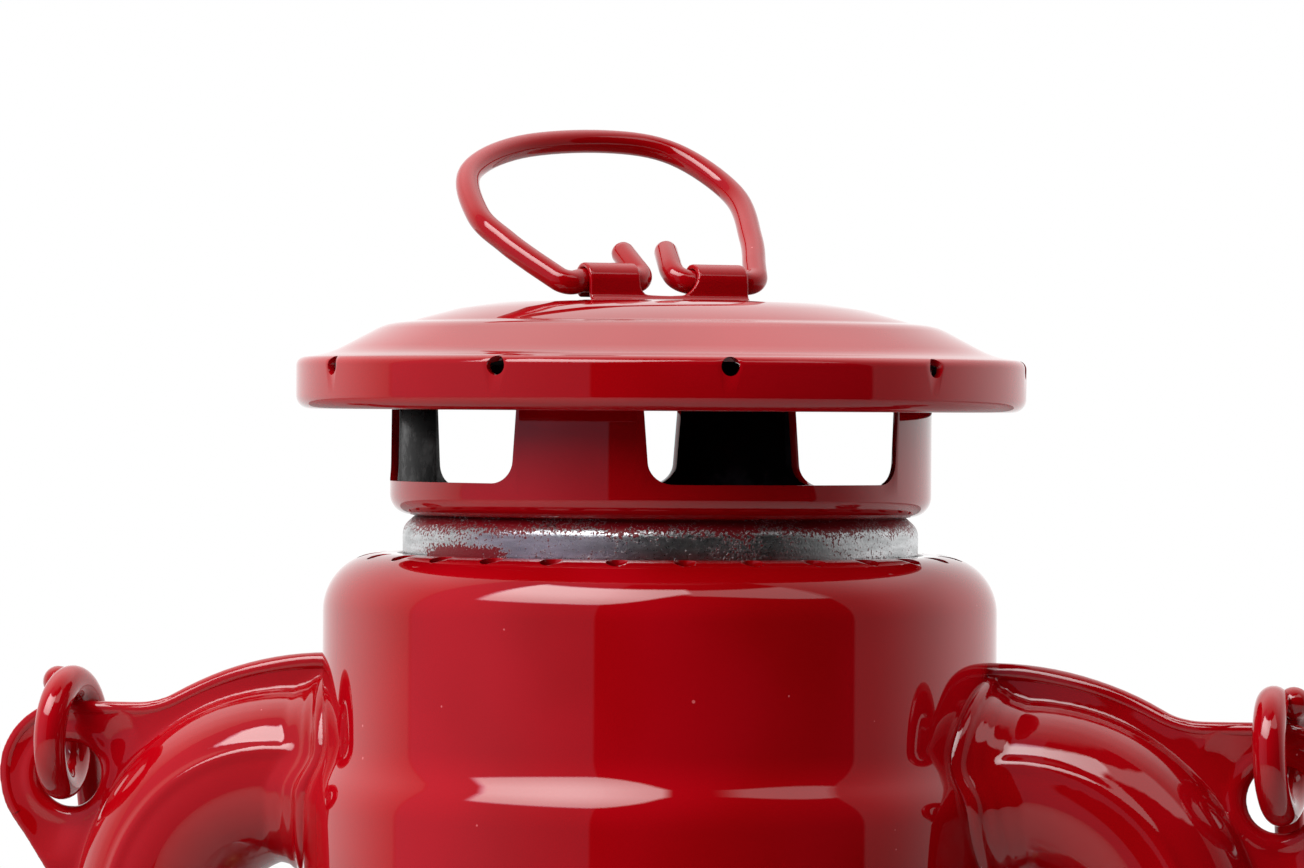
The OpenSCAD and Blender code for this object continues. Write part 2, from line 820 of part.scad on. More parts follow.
// Half of the flange round the tube's upper end, which follows the drum's wall
module tube_collar() {
    reach = drum_skirt_r + collar_t;
    r = tube_r + collar_w;
    intersection() {
        level_run(drum_r - tube_bite, reach, tube_high, r, tube_r - sheet);
        translate([0, 0, tube_high - 2 * r]) cylinder(r = reach, h = 4 * r);
    }
}

// Half of the folded bead along the web's upper edge
module half_bead() {
    bead_line = web_edge_r - bead_r / 2;
    translate([web_x, 0, web_top - web_edge_r])
        rotate([-90, 0, 0])
            rotate([0, 0, -90])
                rotate_extrude(angle = bead_turn) translate([bead_line, 0]) half_disc(bead_r);
}

// Half disc below the X axis
module half_disc(r) {
    difference() {
        circle(r);
        translate([-far, 0]) square([2 * far, far]);
    }
}

module right_tube_front() {
    color(red) tube_half();
}

module right_tube_rear() {
    color(red) mirror([0, 1, 0]) tube_half();
}

module left_tube_front() {
    color(red) mirror([1, 0, 0]) tube_half();
}

module left_tube_rear() {
    color(red) rotate([0, 0, 180]) tube_half();
}

module drum() {
    slot_in = neck_hole_r + slot_inset + slot_r;
    slot_out = drum_r - slot_margin - slot_r;
    slot_z = drum_top - slot_depth;
    color(red) difference() {
        turned(concat(
            drum_line(0), [[neck_hole_r, drum_top - sheet]], back(drum_line(sheet)),
            [[drum_skirt_r - sheet, drum_foot + sheet], [bell_r + slide_gap, drum_foot + sheet]],
            [[bell_r + slide_gap, drum_foot]]
        ));
        for (i = [0:drum_slots - 1])
            rotate([0, 0, (i + 0.5) * 360 / drum_slots]) {
                translate([slot_in, -slot_r, slot_z]) cube([slot_out - slot_in, 2 * slot_r, 2 * slot_depth]);
                translate([slot_in, 0, slot_z]) cylinder(r = slot_r, h = 2 * slot_depth, $fn = 24);
                translate([slot_out, 0, slot_z]) cylinder(r = slot_r, h = 2 * slot_depth, $fn = 24);
            }
        for (side = [0, 180])
            rotate([0, 0, side])
                translate([0, 0, tube_high]) rotate([0, 90, 0]) cylinder(r = tube_r - sheet, h = far);
    }
}

// Clip on a tube's inner side that keeps a guide wire upright
module guide_clip() {
    clip_r = guard_wire_r + clip_play;
    difference() {
        translate([0, 0, clip_z - clip_t / 2]) union() {
            translate([guide_x, 0, 0]) cylinder(r = clip_r + clip_wall, h = clip_t);
            translate([guide_x, -clip_w / 2, 0]) cube([tube_x - guide_x, clip_w, clip_t]);
        }
        translate([guide_x, 0, 0]) cylinder(r = clip_r, h = far);
        translate([tube_x, 0, 0]) cylinder(r = tube_r + seat_gap, h = far);
    }
}

module right_guide_clip() {
    color(red) guide_clip();
}

module left_guide_clip() {
    color(red) mirror([1, 0, 0]) guide_clip();
}

// Lever

module lever_pivot() {
    pin_end = lever_y - lever_t - boss_gap;
    color(steel) difference() {
        translate([lever_x, 0, lever_z]) rotate([90, 0, 0]) union() {
            cylinder(r = boss_r, h = -boss_end);
            cylinder(r = lever_pin_r, h = -pin_end);
            translate([0, 0, -pin_end]) cylinder(r = pin_head_r, h = pin_head_t);
        }
        translate([tube_x, 0, 0]) cylinder(r = tube_r + seat_gap, h = far);
    }
}

module lift_lever() {
    peg = [peg_x - lever_x, peg_z - lever_z];
    rise = -peg.y / lever_arm;
    thumb_out = ear_x + ear_r - lever_x - thumb_end;
    thumb_z = thumb_out * rise;
    color(red) translate([lever_x, lever_y, lever_z]) rotate([90, 0, 0]) difference() {
        union() {
            linear_extrude(lever_t) {
                circle(lever_eye_r);
                polygon([[0, lever_half], [0, -lever_half], peg - [0, peg_r], peg + [0, peg_r]]);
                translate(peg) circle(peg_r);
                polygon([
                    [0, -lever_half], [thumb_out, thumb_z - thumb_half],
                    [thumb_out, thumb_z + thumb_half], [0, lever_half]
                ]);
            }
            translate([peg.x, peg.y, lever_y - tab_y1 - peg_over])
                cylinder(r = peg_r, h = tab_y1 - lever_y + 2 * peg_over);
            translate([thumb_in, thumb_in * rise - thumb_half, -thumb_side])
                cube([thumb_out - thumb_in, thumb_t, lever_t + 2 * thumb_side]);
        }
        translate([0, 0, -far / 2]) cylinder(r = lever_pin_r + run_gap, h = far);
    }
}

// Globe carriage

// Ring of air holes through the globe plate
module plate_holes(count, reach) {
    for (i = [0:count - 1])
        rotate([0, 0, i * 360 / count]) translate([reach, 0, 0])
            cylinder(r = plate_hole_r, h = far, $fn = 24);
}

module globe_plate() {
    keep_r = globe_foot_r + keep_play;
    guide_tab = guide_x + guide_tab_out - plate_r + tab_lap / 2;
    lift_tab = peg_x + tab_out - plate_r + tab_lap;
    color(tin) difference() {
        union() {
            ring_tube(plate_r, burner_r + slide_gap, cup_top, globe_foot);
            ring_tube(keep_r + sheet, keep_r, cup_top, globe_foot + keep_h);
            ring_tube(plate_r, plate_r - sheet, cup_top, globe_foot + plate_rim_h);
            for (x = [-guide_x - guide_tab_out, plate_r - tab_lap / 2])
                translate([x, -guide_tab_w / 2, cup_top]) cube([guide_tab, guide_tab_w, sheet]);
            translate([plate_r - tab_lap, tab_y0, cup_top]) cube([lift_tab, tab_y1 - tab_y0, sheet]);
        }
        plate_holes(plate_inner_holes, burner_r + plate_inner_set);
        plate_holes(plate_outer_holes, burner_r + plate_outer_set);
    }
}

module globe() {
    color(clear) turned(concat(globe_line(0), back(globe_line(glass_t))));
}

// Upright wire that slides in a tube's clip
module guide_wire() {
    translate([guide_x, 0, globe_foot]) cylinder(r = guard_wire_r, h = guide_top - globe_foot);
}

module right_guide_wire() {
    color(tin) guide_wire();
}

module left_guide_wire() {
    color(tin) mirror([1, 0, 0]) guide_wire();
}

module guard_hoop_inner() {
    color(tin) translate([0, 0, globe_mid])
        rotate([0, acos(hoop_side / hoop_r), 0]) hoop(hoop_r, guard_wire_r);
}

module guard_hoop_outer() {
    color(tin) translate([0, 0, globe_mid])
        rotate([0, -acos(hoop_side / hoop_outer_r), 0]) hoop(hoop_outer_r, guard_wire_r);
}

// Chimney

// Round wire wound into one open helix, a closed tube of rings
module helix(r, w, z0, z1, turns) {
    rings = 16 * turns;
    sides = 6;
    lean = atan((z1 - z0) / turns / (2 * PI * r));
    points = [
        for (i = [0:rings], k = [0:sides - 1])
            let (a = i * 360 / 16, b = k * 360 / sides, u = r + w * cos(b), v = w * sin(b))
            [
                u * cos(a) + v * sin(lean) * sin(a),
                u * sin(a) - v * sin(lean) * cos(a),
                z0 + (z1 - z0) * i / rings + v * cos(lean)
            ]
    ];
    tube_skin(points, sides);
    echo(least_spring_gap = (z1 - z0 - globe_travel - hood_travel) / turns - 2 * w);
}

module chimney_spring() {
    color(steel) helix(spring_r, spring_wire_r, spring_foot, spring_top, spring_turns);
}

module chimney_tube() {
    flue_in = flue_r - sheet;
    top_in = flue_in - floor_lap;
    crimp_z = hood_foot + sheet;
    neck_in = neck_r - sheet;
    color(tin) turned([
        [flue_r, bell_top], [flue_r, drum_top - neck_start], [neck_r, drum_top - neck_full],
        [neck_r, hood_foot - neck_fold], [neck_r - neck_corner, hood_foot - neck_corner],
        [neck_r - neck_fold, hood_foot], [top_in + sheet, hood_foot],
        [top_in + sheet, crimp_z], [top_in + 2 * sheet, crimp_z], [top_in + 2 * sheet, crimp_z + sheet],
        [top_in, crimp_z + sheet], [top_in, hood_foot - neck_fold], [neck_in, hood_foot - neck_fold - sheet],
        [neck_in, drum_top - neck_full + neck_corner], [flue_in, drum_top - neck_start + neck_corner],
        [flue_in, bell_top]
    ]);
}

module chimney_bell() {
    color(tin) turned([
        [flue_r - sheet, bell_seat], [bell_r - sheet, bell_seat], [bell_r - sheet, bell_top - bell_lip],
        [bell_r, bell_top - bell_lip], [bell_r, bell_top - bell_round], [bell_r - bell_round, bell_top],
        [flue_r - sheet, bell_top]
    ]);
}

// Upright prism through one window of the band, along +X
module window_cut() {
    top = band_r * sin(window_top);
    foot = band_r * sin(window_foot);
    c = window_corner;
    z0 = hood_foot + sill_h;
    z1 = band_top - window_head;
    rotate([90, 0, 90]) linear_extrude(2 * band_r) polygon(concat(
        [[-top, z1]], arc([-foot + c, z0 + c], c, 180, 270, 6),
        arc([foot - c, z0 + c], c, 270, 360, 6), [[top, z1]]
    ));
}

module hood_band() {
    floor_r = flue_r - floor_lap + seat_gap;
    mid = [band_r - band_round, hood_foot + band_round];
    color(red) rotate([0, 0, hood_yaw]) difference() {
        turned(concat(
            [[floor_r, hood_foot]], arc(mid, band_round, -90, 0, 6),
            [[band_r, band_top], [band_r - sheet, band_top]],
            arc(mid, band_round - sheet, 0, -90, 6), [[floor_r, hood_foot + sheet]]
        ));
        for (i = [0:3])
            rotate([0, 0, i * 90]) window_cut();
    }
}

module hood_cap() {
    vent_z = ledge_z - cap_fall - vent_drop;
    color(red) rotate([0, 0, hood_yaw]) difference() {
        turned(concat(cap_line(0), back(cap_line(sheet))));
        for (i = [0:cap_vents - 1])
            rotate([0, 0, i * 360 / cap_vents])
                translate([cap_r - vent_back, 0, vent_z])
                    rotate([0, 90, 0]) cylinder(r = vent_r, h = vent_len, $fn = 32);
    }
}

module ring_bracket() {
    half = lug_gap + lug_len;
    color(red) rotate([0, 0, hood_yaw]) difference() {
        union() {
            translate([-half, -lug_r, crown_z]) cube([2 * half, 2 * lug_r + bracket_toe, bracket_t]);
            for (s = [-half, lug_gap]) {
                translate([s, 0, hinge_z]) rotate([0, 90, 0]) cylinder(r = lug_r, h = lug_len);
                translate([s, -lug_r, crown_z]) cube([lug_len, lug_wall, hinge_z - crown_z]);
            }
        }
        translate([-far / 2, 0, hinge_z]) rotate([0, 90, 0]) cylinder(r = lug_bore, h = far);
    }
}

module lifting_ring() {
    tip_s = lug_gap - ring_wire_r - tip_play;
    tip_bend = ring_wire_r + tip_play_r;
    foot_s = lug_gap + lug_len + ring_foot_out;
    foot = [[-tip_s, ring_tip], [-tip_s, 0], [-foot_s, 0]];
    turns = [0, tip_bend, ring_foot_bend];
    bow = [for (p = ring_corners) [p.x * ring_w, p.y * ring_h]];
    path = concat(foot, bow, back([for (p = foot) [-p.x, p.y]]));
    bends = concat(turns, ring_bends, back(turns));
    color(red) rotate([0, 0, hood_yaw]) translate([0, 0, hinge_z])
        rotate([90 - ring_lean, 0, 0]) bent_tube(path, bends, ring_wire_r);
}

// Bail

module bail() {
    path = [[-ear_x, 0], [-ear_x, bail_len], [ear_x, bail_len], [ear_x, 0]];
    color(red) translate([0, 0, pivot_z]) rotate([bail_hang - 90, 0, 0]) {
        translate([0, 0, eye_r]) wire(path, [0, bail_bend, bail_bend, 0], bail_wire_r - shank_under);
        for (side = [-1, 1])
            translate([side * ear_x, 0, 0]) rotate([0, 90, 0]) hoop(eye_r, bail_wire_r);
    }
}

tank_base();
tank_shell();
filler_neck();
filler_gasket();
filler_cap();
air_cup();
shaft_bush();
burner_collar();
burner_base();
burner_shell();
burner_cone();
wick_tube();
wick();
wick_shaft();
wick_sprockets();
wick_knob();
left_tube_front();
left_tube_rear();
right_tube_front();
right_tube_rear();
drum();
left_guide_clip();
right_guide_clip();
lever_pivot();
lift_lever();
globe_plate();
globe();
left_guide_wire();
right_guide_wire();
guard_hoop_inner();
guard_hoop_outer();
chimney_spring();
chimney_tube();
chimney_bell();
hood_band();
hood_cap();
ring_bracket();
lifting_ring();
bail();
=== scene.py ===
"""Hurricane lantern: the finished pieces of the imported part, built around its frame in metres."""
import logging
import math
from contextlib import contextmanager
from dataclasses import dataclass
from enum import Enum
from typing import Callable, Iterator, Mapping, Sequence

import bpy
from mathutils import Matrix, Quaternion, Vector


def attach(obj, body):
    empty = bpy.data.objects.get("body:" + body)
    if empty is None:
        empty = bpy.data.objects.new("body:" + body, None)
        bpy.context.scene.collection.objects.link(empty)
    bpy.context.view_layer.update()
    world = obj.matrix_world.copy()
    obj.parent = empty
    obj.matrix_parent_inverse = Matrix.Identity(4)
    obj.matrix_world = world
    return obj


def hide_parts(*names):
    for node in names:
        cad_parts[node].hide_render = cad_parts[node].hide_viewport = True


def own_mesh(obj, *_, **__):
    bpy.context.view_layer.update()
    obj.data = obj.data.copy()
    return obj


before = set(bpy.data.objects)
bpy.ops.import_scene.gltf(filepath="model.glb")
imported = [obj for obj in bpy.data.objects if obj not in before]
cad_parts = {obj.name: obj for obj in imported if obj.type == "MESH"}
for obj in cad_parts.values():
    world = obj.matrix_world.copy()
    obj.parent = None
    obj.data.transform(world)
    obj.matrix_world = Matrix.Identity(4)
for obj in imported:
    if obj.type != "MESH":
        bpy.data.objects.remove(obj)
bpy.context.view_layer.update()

MM = 0.001
MERGE = 0.004 * MM
WIRE_ANGLE = 60.0
log = logging.getLogger("lantern")

Colour = tuple[float, float, float]
Turn = tuple[float, float, float]
Spot = tuple[float, float]
# A corner of a turned section: radius, height and corner round in millimetres.
Corner = tuple[float, float, float]


class Body(Enum):
    """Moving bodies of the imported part."""

    FRAME = "frame"
    CARRIAGE = "globe_carriage"
    CHIMNEY = "chimney"
    RING = "lifting_ring"
    LEVER = "lift_lever"
    WINDER = "wick_winder"
    WICK = "wick"
    GASKET = "filler_gasket"
    CAP = "filler_cap"
    BAIL = "bail"


class Slot(Enum):
    """Material slots of the record."""

    ENAMEL = "red_enamel"
    TIN = "tin_plate"
    BRASS = "brass"
    STEEL = "steel"
    COTTON = "cotton"
    GLASS = "glass"
    RUBBER = "rubber"


def math_node(operation: str, reflected: bool = False) -> Callable[["Field", object], "Field"]:
    """Makes a method of Field that adds one Math node.

    Args:
        operation: Blender's name of the operation.
        reflected: Whether the field is the second of the two values.

    Returns:
        The method.
    """

    def method(self: "Field", other: object) -> "Field":
        """Result of the operation on this field and a number or another field."""
        first, second = (other, self) if reflected else (self, other)
        return self.shader.node("ShaderNodeMath", {"operation": operation}, {0: first, 1: second})

    return method


class Field:
    """A value socket that takes part in Python expressions by adding Math nodes."""

    def __init__(self, shader: "Shader", socket: bpy.types.NodeSocket) -> None:
        """Keeps the socket and the shader that it belongs to."""
        self.shader = shader
        self.socket = socket

    __add__ = math_node("ADD")
    __radd__ = math_node("ADD", reflected=True)
    __sub__ = math_node("SUBTRACT")
    __rsub__ = math_node("SUBTRACT", reflected=True)
    __mul__ = math_node("MULTIPLY")
    __rmul__ = math_node("MULTIPLY", reflected=True)
    greater = math_node("GREATER_THAN")
    larger = math_node("MAXIMUM")
    # Angle of the direction whose sine part is this field and whose cosine part is the other.
    turn_to = math_node("ARCTAN2")


class Shader:
    """A node tree that is written as expressions."""

    def __init__(self, tree: bpy.types.NodeTree) -> None:
        """Clears the tree."""
        self.tree = tree
        tree.nodes.clear()

    def node(
        self,
        kind: str,
        settings: Mapping[str, object] | None = None,
        inputs: Mapping[int | str, object] | None = None,
        out: int | str = 0,
    ) -> Field | None:
        """Adds one node.

        Args:
            kind: Blender's name of the node's type.
            settings: Properties that are set first.
            inputs: Values or fields for the node's sockets.
            out: The output that is used.

        Returns:
            The chosen output, or nothing for an end node.
        """
        made = self.tree.nodes.new(kind)
        for key, value in (settings or {}).items():
            setattr(made, key, value)
        for key, value in (inputs or {}).items():
            socket = made.inputs[key]
            if isinstance(value, Field):
                self.tree.links.new(value.socket, socket)
            elif isinstance(value, tuple) and len(value) == 3 and socket.type == "RGBA":
                socket.default_value = (*value, 1.0)
            else:
                socket.default_value = value
        return Field(self, made.outputs[out]) if made.outputs else None

    def principled(self, values: Mapping[str, object]) -> Field:
        """A Principled surface with these values and links."""
        return self.node("ShaderNodeBsdfPrincipled", {}, values)

    def place(self) -> Field:
        """Object coordinates, in metres."""
        return self.node("ShaderNodeTexCoord", out="Object")

    def axis(self, vector: Field, index: int) -> Field:
        """One component of a vector."""
        return self.node("ShaderNodeSeparateXYZ", {}, {0: vector}, index)

    def noise(self, vector: Field, scale: float, detail: float = 2.0, rough: float = 0.5) -> Field:
        """Soft noise between zero and one, scale in cells a metre."""
        values = {"Vector": vector, "Scale": scale, "Detail": detail, "Roughness": rough}
        return self.node("ShaderNodeTexNoise", {}, values)

    def ramp(self, value: Field, low: float, high: float, first: float = 0.0, last: float = 1.0) -> Field:
        """Smooth step of a value.

        Args:
            value: The field that is read.
            low: Value at which the step starts.
            high: Value at which it ends.
            first: Result at low and before it.
            last: Result at high and after it.

        Returns:
            The stepped field.
        """
        values = {"Value": value, "From Min": low, "From Max": high, "To Min": first, "To Max": last}
        return self.node("ShaderNodeMapRange", {"interpolation_type": "SMOOTHSTEP"}, values)

    def window(self, value: Field, rise: Spot, fall: Spot) -> Field:
        """One between two smooth edges, zero outside them."""
        return self.ramp(value, rise[0], rise[1]) * self.ramp(value, fall[1], fall[0])

    def stretch(self, vector: Field, along: float) -> Field:
        """Coordinates scaled along the lantern's axis."""
        return self.node("ShaderNodeMapping", {}, {"Vector": vector, "Scale": (1.0, 1.0, along)})

    def blend(self, share: object, first: object, second: object) -> Field:
        """Colour between two colours."""
        settings = {"data_type": "RGBA"}
        return self.node("ShaderNodeMix", settings, {"Factor": share, 6: first, 7: second}, 2)

    def specks(self, vector: Field, scale: float, share: float, size: float) -> Field:
        """Scattered round specks.

        Args:
            vector: Coordinates.
            scale: Cells a metre.
            share: Part of the cells that hold a speck.
            size: Speck radius as a share of a cell.

        Returns:
            One in a speck, zero elsewhere.
        """
        core = size * 0.6
        values = {"Vector": vector, "Scale": scale}
        near = self.node("ShaderNodeTexVoronoi", {}, values, "Distance")
        pick = self.node("ShaderNodeTexVoronoi", {}, values, "Color")
        return self.ramp(near, size, core) * self.axis(pick, 0).greater(1.0 - share)

    def bump(self, height: Field, depth: float) -> Field:
        """Normal of a height field whose full swing is depth metres."""
        return self.node("ShaderNodeBump", {}, {"Height": height, "Strength": 1.0, "Distance": depth})


class Finish:
    """Base of the finishes: one procedural material each, made once."""

    name: str

    def material(self) -> bpy.types.Material:
        """Gives the finish's material, built on first use.

        Returns:
            The material.
        """
        found = bpy.data.materials.get(self.name)
        if found is None:
            found = bpy.data.materials.new(self.name)
            found.use_nodes = True
            shader = Shader(found.node_tree)
            shader.node("ShaderNodeOutputMaterial", {}, {"Surface": self.surface(shader)})
        return found

    def surface(self, shader: Shader) -> Field:
        """The surface of this finish, written into the material's shader."""
        raise NotImplementedError


@dataclass(frozen=True)
class DippedEnamel(Finish):
    """Glossy translucent enamel from a dip tank: deep where it pooled, with dust under the gloss."""

    name: str = "dipped_red_enamel"
    thick: Colour = (0.262, 0.0003, 0.0016)
    thin: Colour = (0.310, 0.0008, 0.0040)
    dust: Colour = (0.66, 0.16, 0.17)
    dust_cover: float = 0.55
    wave_depth: float = 0.010 * MM
    gloss: float = 0.012
    coat_index: float = 1.52

    def surface(self, shader: Shader) -> Field:
        """Writes pooling colour, a faint wave in the coat and scattered dust.

        Args:
            shader: The material's shader.

        Returns:
            The surface.
        """
        place = shader.place()
        pool = shader.noise(place, scale=45.0)
        wave = shader.noise(place, scale=130.0, detail=1.0)
        peel = shader.noise(place, scale=900.0)
        dust = shader.specks(place, scale=420.0, share=0.10, size=0.055)
        grit = shader.specks(place, scale=240.0, share=0.05, size=0.05)
        colour = shader.blend(shader.ramp(pool, 0.35, 0.68), self.thick, self.thin)
        height = wave * 0.9 + peel * 0.012 + grit * 0.35
        return shader.principled({
            "Base Color": shader.blend(dust.larger(grit) * self.dust_cover, colour, self.dust),
            "Roughness": 0.5,
            "Normal": shader.bump(height, self.wave_depth),
            "Coat Weight": 1.0,
            "Coat Roughness": self.gloss,
            "Coat IOR": self.coat_index,
            "Specular IOR Level": 0.0,
        })


@dataclass(frozen=True)
class SootyEnamel(Finish):
    """Enamel that hot smoke has dulled, for the hood's inside."""

    name: str = "sooty_enamel"
    soot: Colour = (0.0050, 0.0022, 0.0022)
    baked: Colour = (0.015, 0.0028, 0.0030)
    dull: float = 0.30
    polish: float = 0.14
    coat: float = 0.12
    flake_depth: float = 0.02 * MM

    def surface(self, shader: Shader) -> Field:
        """Writes patches of soot over baked red.

        Args:
            shader: The material's shader.

        Returns:
            The surface.
        """
        place = shader.place()
        patch = shader.noise(place, scale=220.0, detail=5.0, rough=0.65)
        flake = shader.noise(place, scale=1500.0, detail=3.0, rough=0.7)
        share = shader.ramp(patch + flake * 0.35, 0.60, 0.86)
        return shader.principled({
            "Base Color": shader.blend(share, self.soot, self.baked),
            "Roughness": self.dull - share * self.polish,
            "Normal": shader.bump(flake, self.flake_depth),
            "Specular IOR Level": 0.03,
            "Coat Weight": share * self.coat,
            "Coat Roughness": 0.10,
        })


@dataclass(frozen=True)
class ZincNeck(Finish):
    """Galvanised sheet that caught overspray along its upper edge and in one patch at its foot."""

    name: str = "oversprayed_zinc"
    zinc_dark: Colour = (0.36, 0.37, 0.375)
    zinc_light: Colour = (0.62, 0.63, 0.64)
    spray: Colour = (0.12, 0.0012, 0.0040)
    edge_rise: Spot = (236.5 * MM, 238.9 * MM)
    patch_foot: Spot = (233.2 * MM, 234.4 * MM)
    patch_top: Spot = (235.2 * MM, 236.7 * MM)
    patch_left: Spot = (-22.0 * MM, -18.0 * MM)
    patch_right: Spot = (-11.5 * MM, -8.0 * MM)
    patch_front: Spot = (-14.0 * MM, -8.0 * MM)
    mist: float = 0.21
    edge_spray: float = 0.46
    patch_spray: float = 0.60
    drift_spray: float = 0.9
    grain_depth: float = 0.03 * MM

    def surface(self, shader: Shader) -> Field:
        """Writes speckled zinc, red where the spray settled.

        Args:
            shader: The material's shader.

        Returns:
            The surface.
        """
        place = shader.place()
        x, y, height = (shader.axis(place, i) for i in range(3))
        band = shader.noise(shader.stretch(place, 9.0), scale=150.0, detail=3.0, rough=0.6)
        grain = shader.noise(place, scale=3600.0, rough=0.6)
        drift = shader.noise(place, scale=190.0, detail=3.0, rough=0.6)
        edge = shader.ramp(height, *self.edge_rise)
        patch = shader.ramp(y, self.patch_front[1], self.patch_front[0])
        patch = patch * shader.window(height, self.patch_foot, self.patch_top)
        patch = patch * shader.window(x, self.patch_left, self.patch_right)
        share = self.mist + edge * self.edge_spray + patch * self.patch_spray
        share = share + (drift - 0.5) * self.drift_spray
        spray = shader.ramp(share + grain * 1.5, 1.16, 1.26)
        cloud = shader.ramp(drift * 0.4 + band * 0.6, 0.38, 0.66)
        zinc = shader.blend(cloud, self.zinc_dark, self.zinc_light)
        return shader.principled({
            "Base Color": shader.blend(spray, zinc, self.spray),
            "Metallic": 1.0 - spray,
            "Roughness": 0.22 + grain * 0.14 + spray * 0.14,
            "Normal": shader.bump(grain + spray * 0.8, self.grain_depth),
        })


@dataclass(frozen=True)
class BareMetal(Finish):
    """Bare sheet or wire with handling marks and tarnish."""

    name: str
    bright: Colour
    dull: Colour
    smooth: float = 0.16
    worn: float = 0.42
    scratch_depth: float = 0.02 * MM

    def surface(self, shader: Shader) -> Field:
        """Writes tarnish patches over fine scratches.

        Args:
            shader: The material's shader.

        Returns:
            The surface.
        """
        place = shader.place()
        cloud = shader.noise(place, scale=90.0, detail=4.0, rough=0.6)
        fine = shader.noise(place, scale=1400.0, detail=3.0, rough=0.7)
        streak = shader.noise(shader.stretch(place, 14.0), scale=260.0)
        share = shader.ramp(cloud * 0.7 + fine * 0.3, 0.38, 0.66)
        return shader.principled({
            "Base Color": shader.blend(share, self.bright, self.dull),
            "Metallic": 1.0,
            "Roughness": self.smooth + share * (self.worn - self.smooth) + streak * 0.05,
            "Normal": shader.bump(fine * 0.4 + streak * 0.3, self.scratch_depth),
        })


@dataclass(frozen=True)
class ClearGlass(Finish):
    """Blown lamp glass with a faint green cast."""

    name: str = "lamp_glass"
    tint: Colour = (0.965, 0.985, 0.975)
    clean: float = 0.004
    smeared: float = 0.03
    index: float = 1.50
    wave_depth: float = 0.02 * MM

    def surface(self, shader: Shader) -> Field:
        """Writes clear glass whose surface waves slightly.

        Args:
            shader: The material's shader.

        Returns:
            The surface.
        """
        place = shader.place()
        wave = shader.noise(shader.stretch(place, 0.35), scale=55.0, detail=1.0)
        smear = shader.noise(place, scale=160.0, detail=3.0)
        return shader.principled({
            "Base Color": self.tint,
            "Roughness": self.clean + shader.ramp(smear, 0.55, 0.80) * self.smeared,
            "Transmission Weight": 1.0,
            "IOR": self.index,
            "Normal": shader.bump(wave, self.wave_depth),
        })


@dataclass(frozen=True)
class WovenCotton(Finish):
    """Flat woven wick, charred at its burning edge."""

    name: str = "woven_cotton"
    yarn: Colour = (0.78, 0.71, 0.58)
    # Painted shade: the colour laid into the hollows between the yarns.
    shade: Colour = (0.50, 0.43, 0.33)
    char: Colour = (0.012, 0.010, 0.009)
    warp_pitch: float = 1.1 * MM
    yarn_depth: float = 0.25 * MM
    char_edge: Spot = (97.3 * MM, 100.0 * MM)
    yaw: float = math.radians(-25.0)

    def yarns(self, shader: Shader, place: Field, direction: str, scale: float, uneven: float) -> Field:
        """Rows of yarn.

        Args:
            shader: The material's shader.
            place: Coordinates.
            direction: Axis across the rows.
            scale: Scale of Blender's wave.
            uneven: How far the rows wander.

        Returns:
            One on a yarn's crest, zero between two.
        """
        settings = {"wave_type": "BANDS", "bands_direction": direction, "wave_profile": "SIN"}
        values = {"Vector": place, "Scale": scale, "Distortion": uneven}
        return shader.node("ShaderNodeTexWave", settings, values)

    def surface(self, shader: Shader) -> Field:
        """Writes warp and weft over each other, darker in the hollows between the yarns as painted shade,
        with char towards the top.

        Args:
            shader: The material's shader.

        Returns:
            The surface.
        """
        turned = {"Vector": shader.place(), "Rotation": (0.0, 0.0, -self.yaw)}
        place = shader.node("ShaderNodeMapping", {}, turned)
        rate = math.tau / 20.0 / self.warp_pitch
        warp = self.yarns(shader, place, "Y", rate, 0.4)
        weft = self.yarns(shader, place, "Z", rate * 1.4, 0.5)
        fuzz = shader.noise(place, scale=3200.0, detail=3.0, rough=0.8)
        height = warp * 0.55 + weft * 0.35 + fuzz * 0.3
        burnt = shader.ramp(shader.axis(place, 2) + fuzz * 0.9 * MM, *self.char_edge)
        # Painted shade: the low parts of the weave, between the yarns, take the darker colour.
        cloth = shader.blend(shader.ramp(height, 0.25, 0.85), self.shade, self.yarn)
        return shader.principled({
            "Base Color": shader.blend(burnt, cloth, self.char),
            "Roughness": 0.85,
            "Normal": shader.bump(height, self.yarn_depth),
            "Sheen Weight": 0.15,
        })


@dataclass(frozen=True)
class PlainRubber(Finish):
    """Black gasket rubber."""

    name: str = "gasket_rubber"
    black: Colour = (0.014, 0.014, 0.015)
    bloom: Colour = (0.045, 0.045, 0.047)
    grain_depth: float = 0.03 * MM

    def surface(self, shader: Shader) -> Field:
        """Writes dull rubber with a faint bloom.

        Args:
            shader: The material's shader.

        Returns:
            The surface.
        """
        bloom = shader.noise(shader.place(), scale=300.0, detail=4.0, rough=0.6)
        return shader.principled({
            "Base Color": shader.blend(shader.ramp(bloom, 0.4, 0.75), self.black, self.bloom),
            "Roughness": 0.55 + bloom * 0.2,
            "Normal": shader.bump(bloom, self.grain_depth),
        })


@dataclass(frozen=True)
class PaleFloor(Finish):
    """Matt grey of the studio's floor."""

    name: str = "pale_floor"
    grey: Colour = (0.36, 0.36, 0.36)

    def surface(self, shader: Shader) -> Field:
        """Plain matt paint."""
        return shader.principled({"Base Color": self.grey, "Roughness": 0.8, "Specular IOR Level": 0.1})


